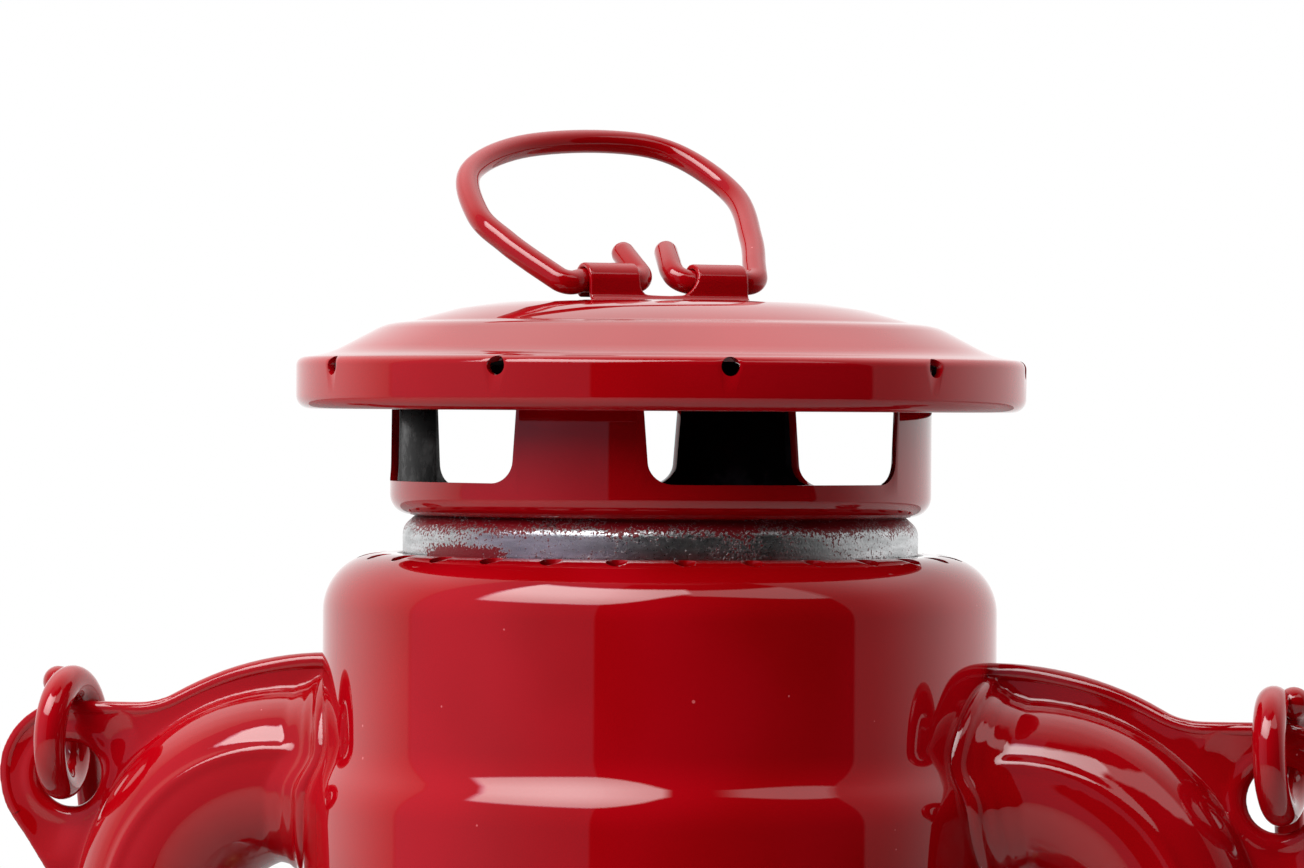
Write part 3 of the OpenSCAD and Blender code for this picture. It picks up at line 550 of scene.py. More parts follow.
SOOT = SootyEnamel()
ZINC = ZincNeck()
FINISHES: dict[Slot, Finish] = {
    Slot.ENAMEL: DippedEnamel(),
    Slot.TIN: BareMetal("bright_tin", (0.62, 0.63, 0.64), (0.40, 0.41, 0.42)),
    Slot.BRASS: BareMetal("satin_brass", (0.70, 0.48, 0.20), (0.40, 0.25, 0.10), 0.20, 0.45),
    Slot.STEEL: BareMetal("plain_steel", (0.45, 0.45, 0.46), (0.24, 0.23, 0.23), 0.25, 0.50),
    Slot.COTTON: WovenCotton(),
    Slot.GLASS: ClearGlass(),
    Slot.RUBBER: PlainRubber(),
}


def at(x: float, y: float, z: float) -> Vector:
    """A point given in millimetres."""
    return Vector((x, y, z)) * MM


def about_z(degrees: float) -> Matrix:
    """Turn about the lantern's axis."""
    return Matrix.Rotation(math.radians(degrees), 4, "Z")


def eased(share: float) -> float:
    """Smooth step of a share, held between zero and one."""
    held = max(0.0, min(1.0, share))
    return held * held * (3 - 2 * held)


def arc(middle: Spot, radius: float, first: float, last: float, steps: int) -> list[Spot]:
    """Points of an arc in a plane.

    Args:
        middle: Its middle.
        radius: Its radius.
        first: Angle of its first point, in radians.
        last: Angle of its last point, in radians.
        steps: Number of equal parts.

    Returns:
        The points, both ends among them.
    """
    turns = [first + (last - first) * i / steps for i in range(steps + 1)]
    return [(middle[0] + radius * math.cos(a), middle[1] + radius * math.sin(a)) for a in turns]


def upright(spots: Sequence[Spot]) -> list[Vector]:
    """Points in the plane of both tubes, from distances to the right and heights in millimetres."""
    return [at(x, 0, z) for x, z in spots]


def rounded(points: Sequence[Vector], radii: Sequence[float], step: float = 9.0) -> list[Vector]:
    """Line through corner points, with an arc at each corner.

    Args:
        points: Corner points.
        radii: Arc radius at each of them in millimetres, zero for a sharp one.
        step: Largest turn between two points of an arc, in degrees.

    Returns:
        The points of the rounded line.
    """
    straight = math.radians(89.8)
    line = [points[0]]
    for before, here, after, size in zip(points, points[1:], points[2:], radii[1:]):
        radius = size * MM
        a = (before - here).normalized()
        b = (after - here).normalized()
        half = a.angle(b) / 2
        if radius <= 0 or half > straight:
            line.append(here)
            continue
        middle = here + (a + b).normalized() * radius / math.sin(half)
        u = here + a * radius / math.tan(half) - middle
        v = here + b * radius / math.tan(half) - middle
        swing = u.angle(v)
        count = max(2, math.ceil(math.degrees(swing) / step))
        for i in range(count + 1):
            t = i / count
            line.append(middle + (u * math.sin((1 - t) * swing) + v * math.sin(t * swing)) / math.sin(swing))
    line.append(points[-1])
    return [p for i, p in enumerate(line) if i == 0 or (p - line[i - 1]).length > MERGE * 2]


def flowing(points: Sequence[Vector], steps: int = 8) -> list[Vector]:
    """Smooth line through points, as wire bent by hand runs.

    Args:
        points: Points on the line.
        steps: Points drawn between two of them.

    Returns:
        The points of the smooth line.
    """
    line = []
    for i in range(len(points) - 1):
        a, b, c, d = (points[max(0, min(len(points) - 1, i + k))] for k in (-1, 0, 1, 2))
        for t in (k / steps for k in range(steps)):
            pull = (c - a) * t + (a * 2 - b * 5 + c * 4 - d) * t ** 2 + (b * 3 - a - c * 3 + d) * t ** 3
            line.append(b + pull / 2)
    return line + [points[-1]]


def profile(corners: Sequence[Corner], step: float = 9.0) -> list[Vector]:
    """Half section of a turned piece from its corners."""
    return rounded([at(r, 0, z) for r, z, _ in corners], [c[2] for c in corners], step)


class Workpiece:
    """One mesh on the bench, shaped through Blender's operators as by hand.

    Points are in metres, and radii, widths and depths in millimetres.
    """

    def __init__(self, obj: bpy.types.Object) -> None:
        """Takes an object on the bench."""
        self.obj = obj

    @staticmethod
    def clear() -> None:
        """Leaves edit mode and deselects everything."""
        if bpy.context.mode != "OBJECT":
            bpy.ops.object.mode_set(mode="OBJECT")
        bpy.ops.object.select_all(action="DESELECT")

    def focus(self) -> None:
        """Makes this the only selected and the active object."""
        self.clear()
        self.obj.select_set(True)
        bpy.context.view_layer.objects.active = self.obj

    @contextmanager
    def editing(self) -> Iterator[None]:
        """Edit mode with every element selected, left again afterwards."""
        self.focus()
        bpy.ops.object.mode_set(mode="EDIT")
        bpy.ops.mesh.select_all(action="SELECT")
        yield
        bpy.ops.object.mode_set(mode="OBJECT")

    @classmethod
    def named(cls, name: str) -> "Workpiece":
        """Takes the primitive that was just added, under its own name.

        Args:
            name: Name of the object and its mesh.

        Returns:
            The new piece.
        """
        piece = cls(bpy.context.active_object)
        piece.obj.name = name
        piece.obj.data.name = name
        return piece

    @classmethod
    def chain(cls, name: str, points: Sequence[Vector], closed: bool = False) -> "Workpiece":
        """A chain of edges, drawn by extruding one point from place to place.

        Args:
            name: Name of the piece.
            points: Places of the chain's points.
            closed: Whether the chain is closed and filled with a face.

        Returns:
            The new piece.
        """
        cls.clear()
        bpy.ops.mesh.primitive_plane_add(size=MM)
        piece = cls.named(name)
        with piece.editing():
            bpy.ops.mesh.merge(type="CENTER")
            bpy.ops.transform.translate(value=points[0])
            for a, b in zip(points, points[1:]):
                bpy.ops.mesh.extrude_vertices_move(TRANSFORM_OT_translate={"value": b - a})
            if closed:
                bpy.ops.mesh.select_all(action="SELECT")
                bpy.ops.mesh.edge_face_add()
        return piece

    @classmethod
    def turned(cls, name: str, line: Sequence[Vector], steps: int) -> "Workpiece":
        """A half section spun round the lantern's axis.

        Args:
            name: Name of the piece.
            line: Points of the half section.
            steps: Parts of the full turn.

        Returns:
            The new piece, a surface that faces outwards.
        """
        piece = cls.chain(name, line)
        with piece.editing():
            bpy.ops.mesh.spin(
                steps=steps, angle=math.tau, center=(0, 0, 0), axis=(0, 0, 1), use_auto_merge=True
            )
            bpy.ops.mesh.select_all(action="SELECT")
            bpy.ops.mesh.remove_doubles(threshold=MERGE)
            bpy.ops.mesh.normals_make_consistent(inside=False)
        return piece.faced_out()

    @classmethod
    def plate(cls, name: str, outline: Sequence[Vector], depth: Vector) -> "Workpiece":
        """A flat outline, filled and extruded.

        Args:
            name: Name of the piece.
            outline: Points of the outline.
            depth: Way of the extrusion.

        Returns:
            The new piece.
        """
        piece = cls.chain(name, outline, closed=True)
        with piece.editing():
            bpy.ops.mesh.extrude_region_move(TRANSFORM_OT_translate={"value": depth})
            bpy.ops.mesh.select_all(action="SELECT")
            bpy.ops.mesh.normals_make_consistent(inside=False)
        return piece

    @classmethod
    def drill(cls, radius: float, depth: float, sides: int, tilt: Turn) -> "Workpiece":
        """A round cutter with its middle at the origin.

        Args:
            radius: Radius of the hole.
            depth: Length of the cutter.
            sides: Number of its sides.
            tilt: Turn from upright about each axis, in radians.

        Returns:
            The cutter.
        """
        bpy.ops.mesh.primitive_cylinder_add(
            vertices=sides, radius=radius * MM, depth=depth * MM, rotation=tilt
        )
        piece = cls.named("drill")
        bpy.ops.object.transform_apply(location=True, rotation=True, scale=True)
        return piece

    @classmethod
    def wire(
        cls,
        name: str,
        points: Sequence[Vector],
        radius: float,
        closed: bool = False,
        round_ends: bool = False,
        shares: Sequence[float] | None = None,
        fineness: int = 8,
    ) -> "Workpiece":
        """Round wire along a path, drawn as a bevelled curve and made a mesh.

        Args:
            name: Name of the piece.
            points: Points of the path.
            radius: Radius of the wire.
            closed: Whether the path is a ring.
            round_ends: Whether the ends are domed.
            shares: Radius at each point as a share of radius.
            fineness: Bevel resolution.

        Returns:
            The new piece.
        """
        path = [Vector(p) for p in points]
        widths = list(shares or [1.0] * len(path))
        if round_ends:
            arcs = [math.radians(a) for a in (25, 48, 68, 84)]
            head = (path[0] - path[1]).normalized() * radius * MM
            tail = (path[-1] - path[-2]).normalized() * radius * MM
            first, last = path[0], path[-1]
            path = [first + head * math.sin(a) for a in reversed(arcs)] + path
            path += [last + tail * math.sin(a) for a in arcs]
            widths = [widths[0] * math.cos(a) for a in reversed(arcs)] + widths
            widths += [widths[-1] * math.cos(a) for a in arcs]
        cls.clear()
        bpy.ops.curve.primitive_nurbs_path_add()
        curve = bpy.context.active_object.data
        curve.splines.clear()
        spline = curve.splines.new("POLY")
        spline.points.add(len(path) - 1)
        for knot, place, share in zip(spline.points, path, widths):
            knot.co = (*place, 1.0)
            knot.radius = share
        spline.use_cyclic_u = closed
        curve.bevel_depth = radius * MM
        curve.bevel_resolution = fineness
        curve.use_fill_caps = not closed
        bpy.ops.object.convert(target="MESH")
        return cls.named(name)

    @classmethod
    def copied(cls, node: str) -> "Workpiece":
        """A merged copy of a CAD node's mesh, flat faces joined up, to soften and dress.

        Args:
            node: The CAD node.

        Returns:
            The new piece.
        """
        cls.clear()
        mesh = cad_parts[node].data.copy()
        obj = bpy.data.objects.new(node + "_finished", mesh)
        bpy.context.scene.collection.objects.link(obj)
        piece = cls(obj)
        mesh.materials.clear()
        with piece.editing():
            bpy.ops.mesh.remove_doubles(threshold=MERGE)
            bpy.ops.mesh.dissolve_limited(angle_limit=math.radians(0.6))
        return piece

    def faced_out(self) -> "Workpiece":
        """Turns the faces of an open shell to its outside.

        Returns:
            This piece.
        """
        faces = self.obj.data.polygons
        middle = sum((f.center * f.area for f in faces), Vector()) / sum(f.area for f in faces)
        if sum(f.area * f.normal.dot(f.center - middle) for f in faces) < 0:
            self.obj.data.flip_normals()
        return self

    def modify(self, kind: str, **settings: object) -> "Workpiece":
        """Adds a modifier, sets it and applies it.

        Args:
            kind: Blender's name of the modifier.
            settings: Its properties.

        Returns:
            This piece.
        """
        made = self.obj.modifiers.new(kind.lower(), kind)
        for key, value in settings.items():
            setattr(made, key, value)
        self.focus()
        bpy.ops.object.modifier_apply(modifier=made.name)
        return self

    def wall(self, thickness: float, inner_slot: int = 0) -> "Workpiece":
        """Gives a surface its sheet thickness, inwards.

        Args:
            thickness: Thickness of the sheet.
            inner_slot: Material slot of the inner face.

        Returns:
            This piece.
        """
        while len(self.obj.data.materials) <= inner_slot:
            self.obj.data.materials.append(None)
        settings = {"offset": -1.0, "use_even_offset": True, "material_offset": inner_slot}
        return self.modify("SOLIDIFY", thickness=thickness * MM, **settings)

    def soften(self, width: float, segments: int = 2, angle: float = 40.0) -> "Workpiece":
        """Rounds every edge that is sharper than an angle.

        Args:
            width: Width of the round.
            segments: Faces across it.
            angle: The angle, in degrees.

        Returns:
            This piece.
        """
        limit = {"limit_method": "ANGLE", "angle_limit": math.radians(angle), "use_clamp_overlap": True}
        return self.modify("BEVEL", width=width * MM, segments=segments, **limit)

    def pool(self, voxel: float, rounds: int) -> "Workpiece":
        """Melts joined solids into one skin, as paint fills their corners."""
        self.modify("REMESH", mode="VOXEL", voxel_size=voxel * MM, use_smooth_shade=True)
        return self.modify("SMOOTH", factor=0.5, iterations=rounds)

    def cut(self, *cutters: "Workpiece") -> "Workpiece":
        """Takes the cutters out of this piece, and removes them.

        Args:
            cutters: Pieces that show where to cut.

        Returns:
            This piece.
        """
        tool = cutters[0].joined(*cutters[1:])
        self.modify("BOOLEAN", operation="DIFFERENCE", object=tool.obj, solver="EXACT")
        bpy.data.objects.remove(tool.obj)
        return self

    def joined(self, *others: "Workpiece") -> "Workpiece":
        """Joins other pieces into this one.

        Args:
            others: The other pieces.

        Returns:
            This piece.
        """
        if others:
            self.focus()
            for other in others:
                other.obj.select_set(True)
            bpy.ops.object.join()
        return self

    def moved(self, matrix: Matrix) -> "Workpiece":
        """Moves the mesh itself, and leaves the object at the origin.

        Args:
            matrix: The move.

        Returns:
            This piece.
        """
        self.obj.data.transform(matrix)
        if matrix.determinant() < 0:
            self.obj.data.flip_normals()
        return self

    def twin(self, name: str, matrix: Matrix) -> "Workpiece":
        """Copies this piece, with a mesh of its own.

        Args:
            name: Name of the copy.
            matrix: The copy's move.

        Returns:
            The copy.
        """
        obj = self.obj.copy()
        obj.data = self.obj.data.copy()
        obj.name = name
        obj.data.name = name
        bpy.context.scene.collection.objects.link(obj)
        return Workpiece(obj).moved(matrix)

    def around(self, count: int) -> list["Workpiece"]:
        """This piece and its copies, at equal turns round the lantern's axis."""
        return [self] + [self.twin(self.obj.name, about_z(360 / count * i)) for i in range(1, count)]

    def smooth(self, angle: float = 38.0) -> "Workpiece":
        """Shades smoothly up to an angle between faces.

        Args:
            angle: The angle, in degrees.

        Returns:
            This piece.
        """
        self.focus()
        bpy.ops.object.shade_smooth_by_angle(angle=math.radians(angle))
        return self

    def shaped(self, move: Callable[[Vector], Vector]) -> "Workpiece":
        """Moves each point of the mesh by a rule.

        Args:
            move: Gives a point's new place from its old one.

        Returns:
            This piece.
        """
        for vertex in self.obj.data.vertices:
            vertex.co = move(vertex.co)
        return self

    def dress(
        self, body: Body, slot: Slot, *nodes: str, finishes: Sequence[Finish] = ()
    ) -> bpy.types.Object:
        """Hands the piece to its body.

        Args:
            body: The body that it moves with.
            slot: The record's material slot.
            nodes: CAD nodes that it stands for.
            finishes: Finishes in the order of the mesh's material slots, if not the slot's own one.

        Returns:
            The finished object.
        """
        slots = self.obj.data.materials
        for index, finish in enumerate(finishes or (FINISHES[slot],)):
            if index == len(slots):
                slots.append(None)
            slots[index] = finish.material()
        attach(self.obj, body.value)
        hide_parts(*nodes)
        return self.obj


def softened(node: str, body: Body, slot: Slot, width: float, segments: int = 2) -> bpy.types.Object:
    """A CAD node's copy with rounded edges, dressed to stand for the node."""
    return Workpiece.copied(node).soften(width, segments).smooth().dress(body, slot, node)


@dataclass
class Hood:
    """Vented cap, windowed band and the bracket of the lifting ring, in millimetres and degrees."""

    sheet: float = 0.8
    steps: int = 240
    sharp: float = 50.0
    yaw: float = 43.0
    crown_z: float = 262.0
    crown_edge: Corner = (20.2, 262.0, 39.0)
    ledge_in: Corner = (27.0, 259.72, 3.5)
    ledge_out: Corner = (29.4, 259.55, 6.0)
    skirt: Corner = (35.4, 256.35, 9.0)
    rim_top: Corner = (39.1, 255.75, 0.95)
    rim_foot: Corner = (39.1, 250.3, 1.5)
    rim_in: float = 36.9
    cap_edge: float = 0.12
    vents: int = 10
    vent_r: float = 1.0
    vent_z: float = 254.85
    band_r: float = 29.0
    band_in: float = 26.05
    band_foot: float = 239.1
    band_round: float = 2.2
    band_top: float = 258.85
    band_edge: float = 0.16
    windows: int = 4
    window_yaw: float = 42.3
    window_top: float = 32.0
    window_foot: float = 30.0
    window_round: float = 2.4
    punch_in: float = 10.0
    punch_len: float = 30.0
    sill: float = 3.6
    lintel: float = 3.0
    rear_drop: float = 0.6
    hinge_z: float = 264.15
    lug_r: float = 1.95
    lug_wall: float = 0.55
    lug_gap: float = 3.6
    lug_len: float = 6.0
    lug_roll: float = 250.0
    lug_flare: Spot = (0.9, 0.8)
    lug_sunk: float = 0.2
    left_hollow: float = 1.3
    right_hollow: float = 2.6
    strap_h: float = 0.7

    def cap(self) -> bpy.types.Object:
        """Pressed cap: crown, ledge, sloping skirt, and a rim that turns in at its foot.

        Returns:
            The finished cap.
        """
        corners = [(0.0, self.crown_z, 0.0), self.crown_edge, self.ledge_in, self.ledge_out, self.skirt]
        corners += [self.rim_top, self.rim_foot, (self.rim_in, self.rim_foot[1], 0.0)]
        cap = Workpiece.turned("hood_cap_finished", profile(corners), self.steps)
        cap.wall(self.sheet, inner_slot=1)
        drill = Workpiece.drill(self.vent_r, depth=5.0, sides=24, tilt=(0, math.pi / 2, 0))
        drill.moved(about_z(self.yaw) @ Matrix.Translation(at(self.rim_top[0], 0, self.vent_z)))
        cap.cut(*drill.around(self.vents)).soften(self.cap_edge, angle=self.sharp).smooth()
        return cap.dress(Body.CHIMNEY, Slot.ENAMEL, "hood_cap", finishes=(FINISHES[Slot.ENAMEL], SOOT))

    def band(self) -> bpy.types.Object:
        """Ring with four windows between flared posts, turned in at its foot.

        Returns:
            The finished band.
        """
        line = profile([
            (self.band_in, self.band_foot, 0.0),
            (self.band_r, self.band_foot, self.band_round),
            (self.band_r, self.band_top, 0.0),
        ])
        band = Workpiece.turned("hood_band_finished", line, self.steps).wall(self.sheet, inner_slot=1)
        top = self.band_r * math.sin(math.radians(self.window_top))
        foot = self.band_r * math.sin(math.radians(self.window_foot))
        low = self.band_foot + self.sill
        high = self.band_top - self.lintel
        corners = [at(self.punch_in, y, z) for y, z in ((-top, high), (-foot, low), (foot, low), (top, high))]
        outline = rounded(corners, [0, self.window_round, self.window_round, 0])
        punch = Workpiece.plate("window_punch", outline, at(self.punch_len, 0, 0))
        punches = punch.moved(about_z(self.window_yaw)).around(self.windows)
        for rear in punches[:2]:
            rear.moved(Matrix.Translation(at(0, 0, -self.rear_drop)))
        band.cut(*punches).soften(self.band_edge, angle=self.sharp).smooth()
        return band.dress(Body.CHIMNEY, Slot.ENAMEL, "hood_band", finishes=(FINISHES[Slot.ENAMEL], SOOT))

    def lug(self, side: int, hollow: float) -> Workpiece:
        """One half of the bracket: sheet that rises from the strap and rolls back over the wire.

        Args:
            side: Minus one for the left half, one for the right.
            hollow: Radius of the hollow between strap and lug.

        Returns:
            The half, with its thickness.
        """
        mid = self.lug_r - self.lug_wall / 2
        rise = self.hinge_z - self.crown_z
        length = rise + math.radians(self.lug_roll) * mid
        flare_h, flare_out = self.lug_flare
        Workpiece.clear()
        bpy.ops.mesh.primitive_grid_add(x_subdivisions=44, y_subdivisions=72, size=2.0)

        def bent(place: Vector) -> Vector:
            """Wraps the flat grid into the rolled lug.

            Args:
                place: A point of the grid.

            Returns:
                Its place on the lug.
            """
            along = (place.y + 1) / 2 * length
            over = along - self.strap_h
            inner = 0.0
            if over > 0:
                drop = max(0.0, hollow - over)
                inner = self.lug_gap - hollow + math.sqrt(hollow ** 2 - drop ** 2)
            across = inner + (place.x + 1) / 2 * (self.lug_gap + self.lug_len - inner)
            if along < rise:
                flare = max(0.0, 1 - along / flare_h) ** 2
                height = self.crown_z - self.lug_sunk + along * (1 + self.lug_sunk / rise)
                return at(side * across, -mid - flare_out * flare, height)
            turn = math.pi - (along - rise) / mid
            return at(side * across, mid * math.cos(turn), self.hinge_z + mid * math.sin(turn))

        lug = Workpiece.named("ring_bracket_finished").shaped(bent)
        return lug.modify("SOLIDIFY", thickness=self.lug_wall * MM, offset=0.0, use_even_offset=True)

    def bracket(self) -> bpy.types.Object:
        """Strap on the crown whose two ends are rolled over the ring's wire.

        Returns:
            The finished bracket.
        """
        bracket = self.lug(-1, self.left_hollow).joined(self.lug(1, self.right_hollow))
        bracket.pool(voxel=0.13, rounds=6)
        return bracket.moved(about_z(self.yaw)).dress(Body.CHIMNEY, Slot.ENAMEL, "ring_bracket")

    def build(self) -> Iterator[bpy.types.Object]:
        """All pieces of the hood, one after the other.

        Yields:
            The finished cap, band and bracket.
        """
        yield self.cap()
        yield self.band()
        yield self.bracket()


@dataclass
class LiftingRing:
    """Bent wire ring whose upturned tips sit in the bracket, in millimetres."""

    yaw: float = 43.0
    lean: float = 57.0
    hinge_z: float = 264.15
    wire_r: float = 1.3
    left_tip: tuple[Spot, ...] = ((-2.2, 5.6), (-2.1, 0.0), (-9.7, 0.0), (-11.9, -0.8))
    left_rounds: tuple[float, ...] = (0.0, 1.5, 2.5, 1.4, 0.0)
    bow: tuple[Spot, ...] = (
        (-14.0, 3.6), (-15.5, 7.5), (-16.6, 13.0), (-13.9, 21.8), (-5.5, 27.6),
        (6.0, 29.4), (13.7, 27.1), (17.3, 18.5), (15.2, 9.2), (13.0, 3.6),
    )
    right_tip: tuple[Spot, ...] = ((11.6, 0.0), (2.1, 0.0), (2.2, 2.4), (3.2, 6.0))
    right_rounds: tuple[float, ...] = (0.0, 2.0, 1.5, 4.0, 0.0)

    def build(self) -> Iterator[bpy.types.Object]:
        """Sweeps the wire through its bends, a little uneven as bent by hand.

        Yields:
            The finished ring.
        """
        left, bow, right = (
            [at(x, y, 0) for x, y in spots] for spots in (self.left_tip, self.bow, self.right_tip)
        )
        bow = flowing(bow)
        path = rounded(left + [bow[0]], self.left_rounds, step=6.0)[:-1] + bow
        path += rounded([bow[-1]] + right, self.right_rounds, step=6.0)[1:]
        ring = Workpiece.wire("lifting_ring_finished", path, self.wire_r, round_ends=True, fineness=10)
        tilt = Matrix.Rotation(math.radians(90 - self.lean), 4, "X")
        ring.moved(about_z(self.yaw) @ Matrix.Translation(at(0, 0, self.hinge_z)) @ tilt).smooth(WIRE_ANGLE)
        yield ring.dress(Body.RING, Slot.ENAMEL, "lifting_ring")


@dataclass
class Chimney:
    """Flue with its bulged neck, the bell over the globe's mouth and the spring, in millimetres."""

    sheet: float = 0.8
    flue_r: float = 26.4
    neck_r: float = 27.6
    neck_round: float = 1.5
    neck_start: float = 231.0
    neck_foot: float = 233.0
    neck_top: float = 237.8
    neck_shoulder: float = 1.8
    hood_neck: Corner = (26.2, 239.1, 0.6)
    hood_end: Corner = (25.95, 240.7, 0.0)
    bell_r: float = 33.4
    bell_in: float = 25.6
    bell_top: float = 187.8
    bell_lip: float = 5.0
    bell_round: float = 1.2
    spring_r: float = 29.2
    spring_wire_r: float = 0.6
    spring_foot: float = 188.45
    spring_top: float = 233.55
    spring_turns: int = 7
    turn_steps: int = 40
    globe_travel: float = 10.0
    hood_travel: float = 12.0

    def flue(self) -> bpy.types.Object:
        """Galvanised tube, bulged where it shows between drum and hood.

        Returns:
            The finished flue.
        """
        line = profile([
            (self.flue_r, self.bell_top, 0.0),
            (self.flue_r, self.neck_start, self.neck_round),
            (self.neck_r, self.neck_foot, self.neck_round),
            (self.neck_r, self.neck_top, self.neck_shoulder),
            self.hood_neck,
            self.hood_end,
        ])
        flue = Workpiece.turned("chimney_tube_finished", line, steps=160).wall(self.sheet).smooth()
        return flue.dress(Body.CHIMNEY, Slot.TIN, "chimney_tube", finishes=(ZINC,))

    def bell(self) -> bpy.types.Object:
        """Flange with a lip that caps the globe's mouth.

        Returns:
            The finished bell.
        """
        line = profile([
            (self.bell_in, self.bell_top, 0.0),
            (self.bell_r, self.bell_top, self.bell_round),
            (self.bell_r, self.bell_top - self.bell_lip, 0.0),
        ])
        bell = Workpiece.turned("chimney_bell_finished", line, steps=128).wall(self.sheet)
        return bell.soften(width=0.15).smooth().dress(Body.CHIMNEY, Slot.TIN, "chimney_bell")

    def spring(self) -> Iterator[bpy.types.Object]:
        """Open coil in two halves: the lower moves with the globe's carriage, the upper stays with the frame.

        Yields:
            The finished halves.
        """
        span = self.spring_top - self.spring_foot
        count = self.spring_turns * self.turn_steps
        coil = []
        for i in range(count + 1):
            turn = math.tau * self.spring_turns * i / count
            height = self.spring_foot + span * i / count
            coil.append(at(self.spring_r * math.cos(turn), self.spring_r * math.sin(turn), height))
        cut = count // 2
        lower = Workpiece.wire("chimney_spring_lower", coil[: cut + 1], self.spring_wire_r, fineness=3)
        yield lower.smooth(WIRE_ANGLE).dress(Body.CARRIAGE, Slot.STEEL, "chimney_spring")
        keep = 1.0 - self.hood_travel / (span / 2)
        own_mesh(lower.obj)
        upper = Workpiece.wire("chimney_spring_upper", coil[cut:], self.spring_wire_r, fineness=3)
        yield upper.smooth(WIRE_ANGLE).dress(Body.FRAME, Slot.STEEL, "chimney_spring")
        keep = 1.0 - self.globe_travel / (span / 2)
        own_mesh(upper.obj, "globe_lift", axis=(0, 0, 1), anchor=tuple(at(0, 0, self.spring_top)), keep=keep)

    def build(self) -> Iterator[bpy.types.Object]:
        """All pieces of the chimney, one after the other.

        Yields:
            The finished flue, bell and spring.
        """
        yield self.flue()
        yield self.bell()
        yield from self.spring()


@dataclass
class Drum:
    """Air chamber under the hood: slotted top, round shoulder and a step, in millimetres."""

    sheet: float = 0.8
    upper_r: float = 36.1
    skirt_r: float = 38.1
    foot: float = 190.0
    foot_round: float = 1.0
    top: float = 235.0
    step_low: float = 209.55
    step_high: float = 213.45
    step_round: float = 7.5
    round_r: float = 6.2
    hole_r: float = 28.2
    slots: int = 28
    slot_in: float = 30.9
    slot_out: float = 31.4
    slot_r: float = 1.1
    slot_edge: float = 0.12
    punch_len: float = 10.0
    floor_in: float = 34.0
    floor_z: float = 190.02

    def build(self) -> Iterator[bpy.types.Object]:
        """Turns the drum and punches its air slots.

        Yields:
            The finished drum.
        """
        line = profile([
            (self.floor_in, self.floor_z, 0.0),
            (self.skirt_r, self.foot, self.foot_round),
            (self.skirt_r, self.step_low, self.step_round),
            (self.upper_r, self.step_high, self.step_round),
            (self.upper_r, self.top, self.round_r),
            (self.hole_r, self.top, 0.0),
        ], step=6.0)
        drum = Workpiece.turned("drum_finished", line, steps=280).wall(self.sheet)
        right = math.pi / 2
        slot = arc((self.slot_out, 0.0), self.slot_r, -right, right, steps=10)
        slot += arc((self.slot_in, 0.0), self.slot_r, right, 3 * right, steps=10)
        outline = [at(x, y, self.top - self.punch_len / 2) for x, y in slot]
        punch = Workpiece.plate("slot_punch", outline, at(0, 0, self.punch_len))
        punches = punch.moved(about_z(180 / self.slots)).around(self.slots)
        drum.cut(*punches).soften(self.slot_edge, angle=50).smooth()
        yield drum.dress(Body.FRAME, Slot.ENAMEL, "drum")


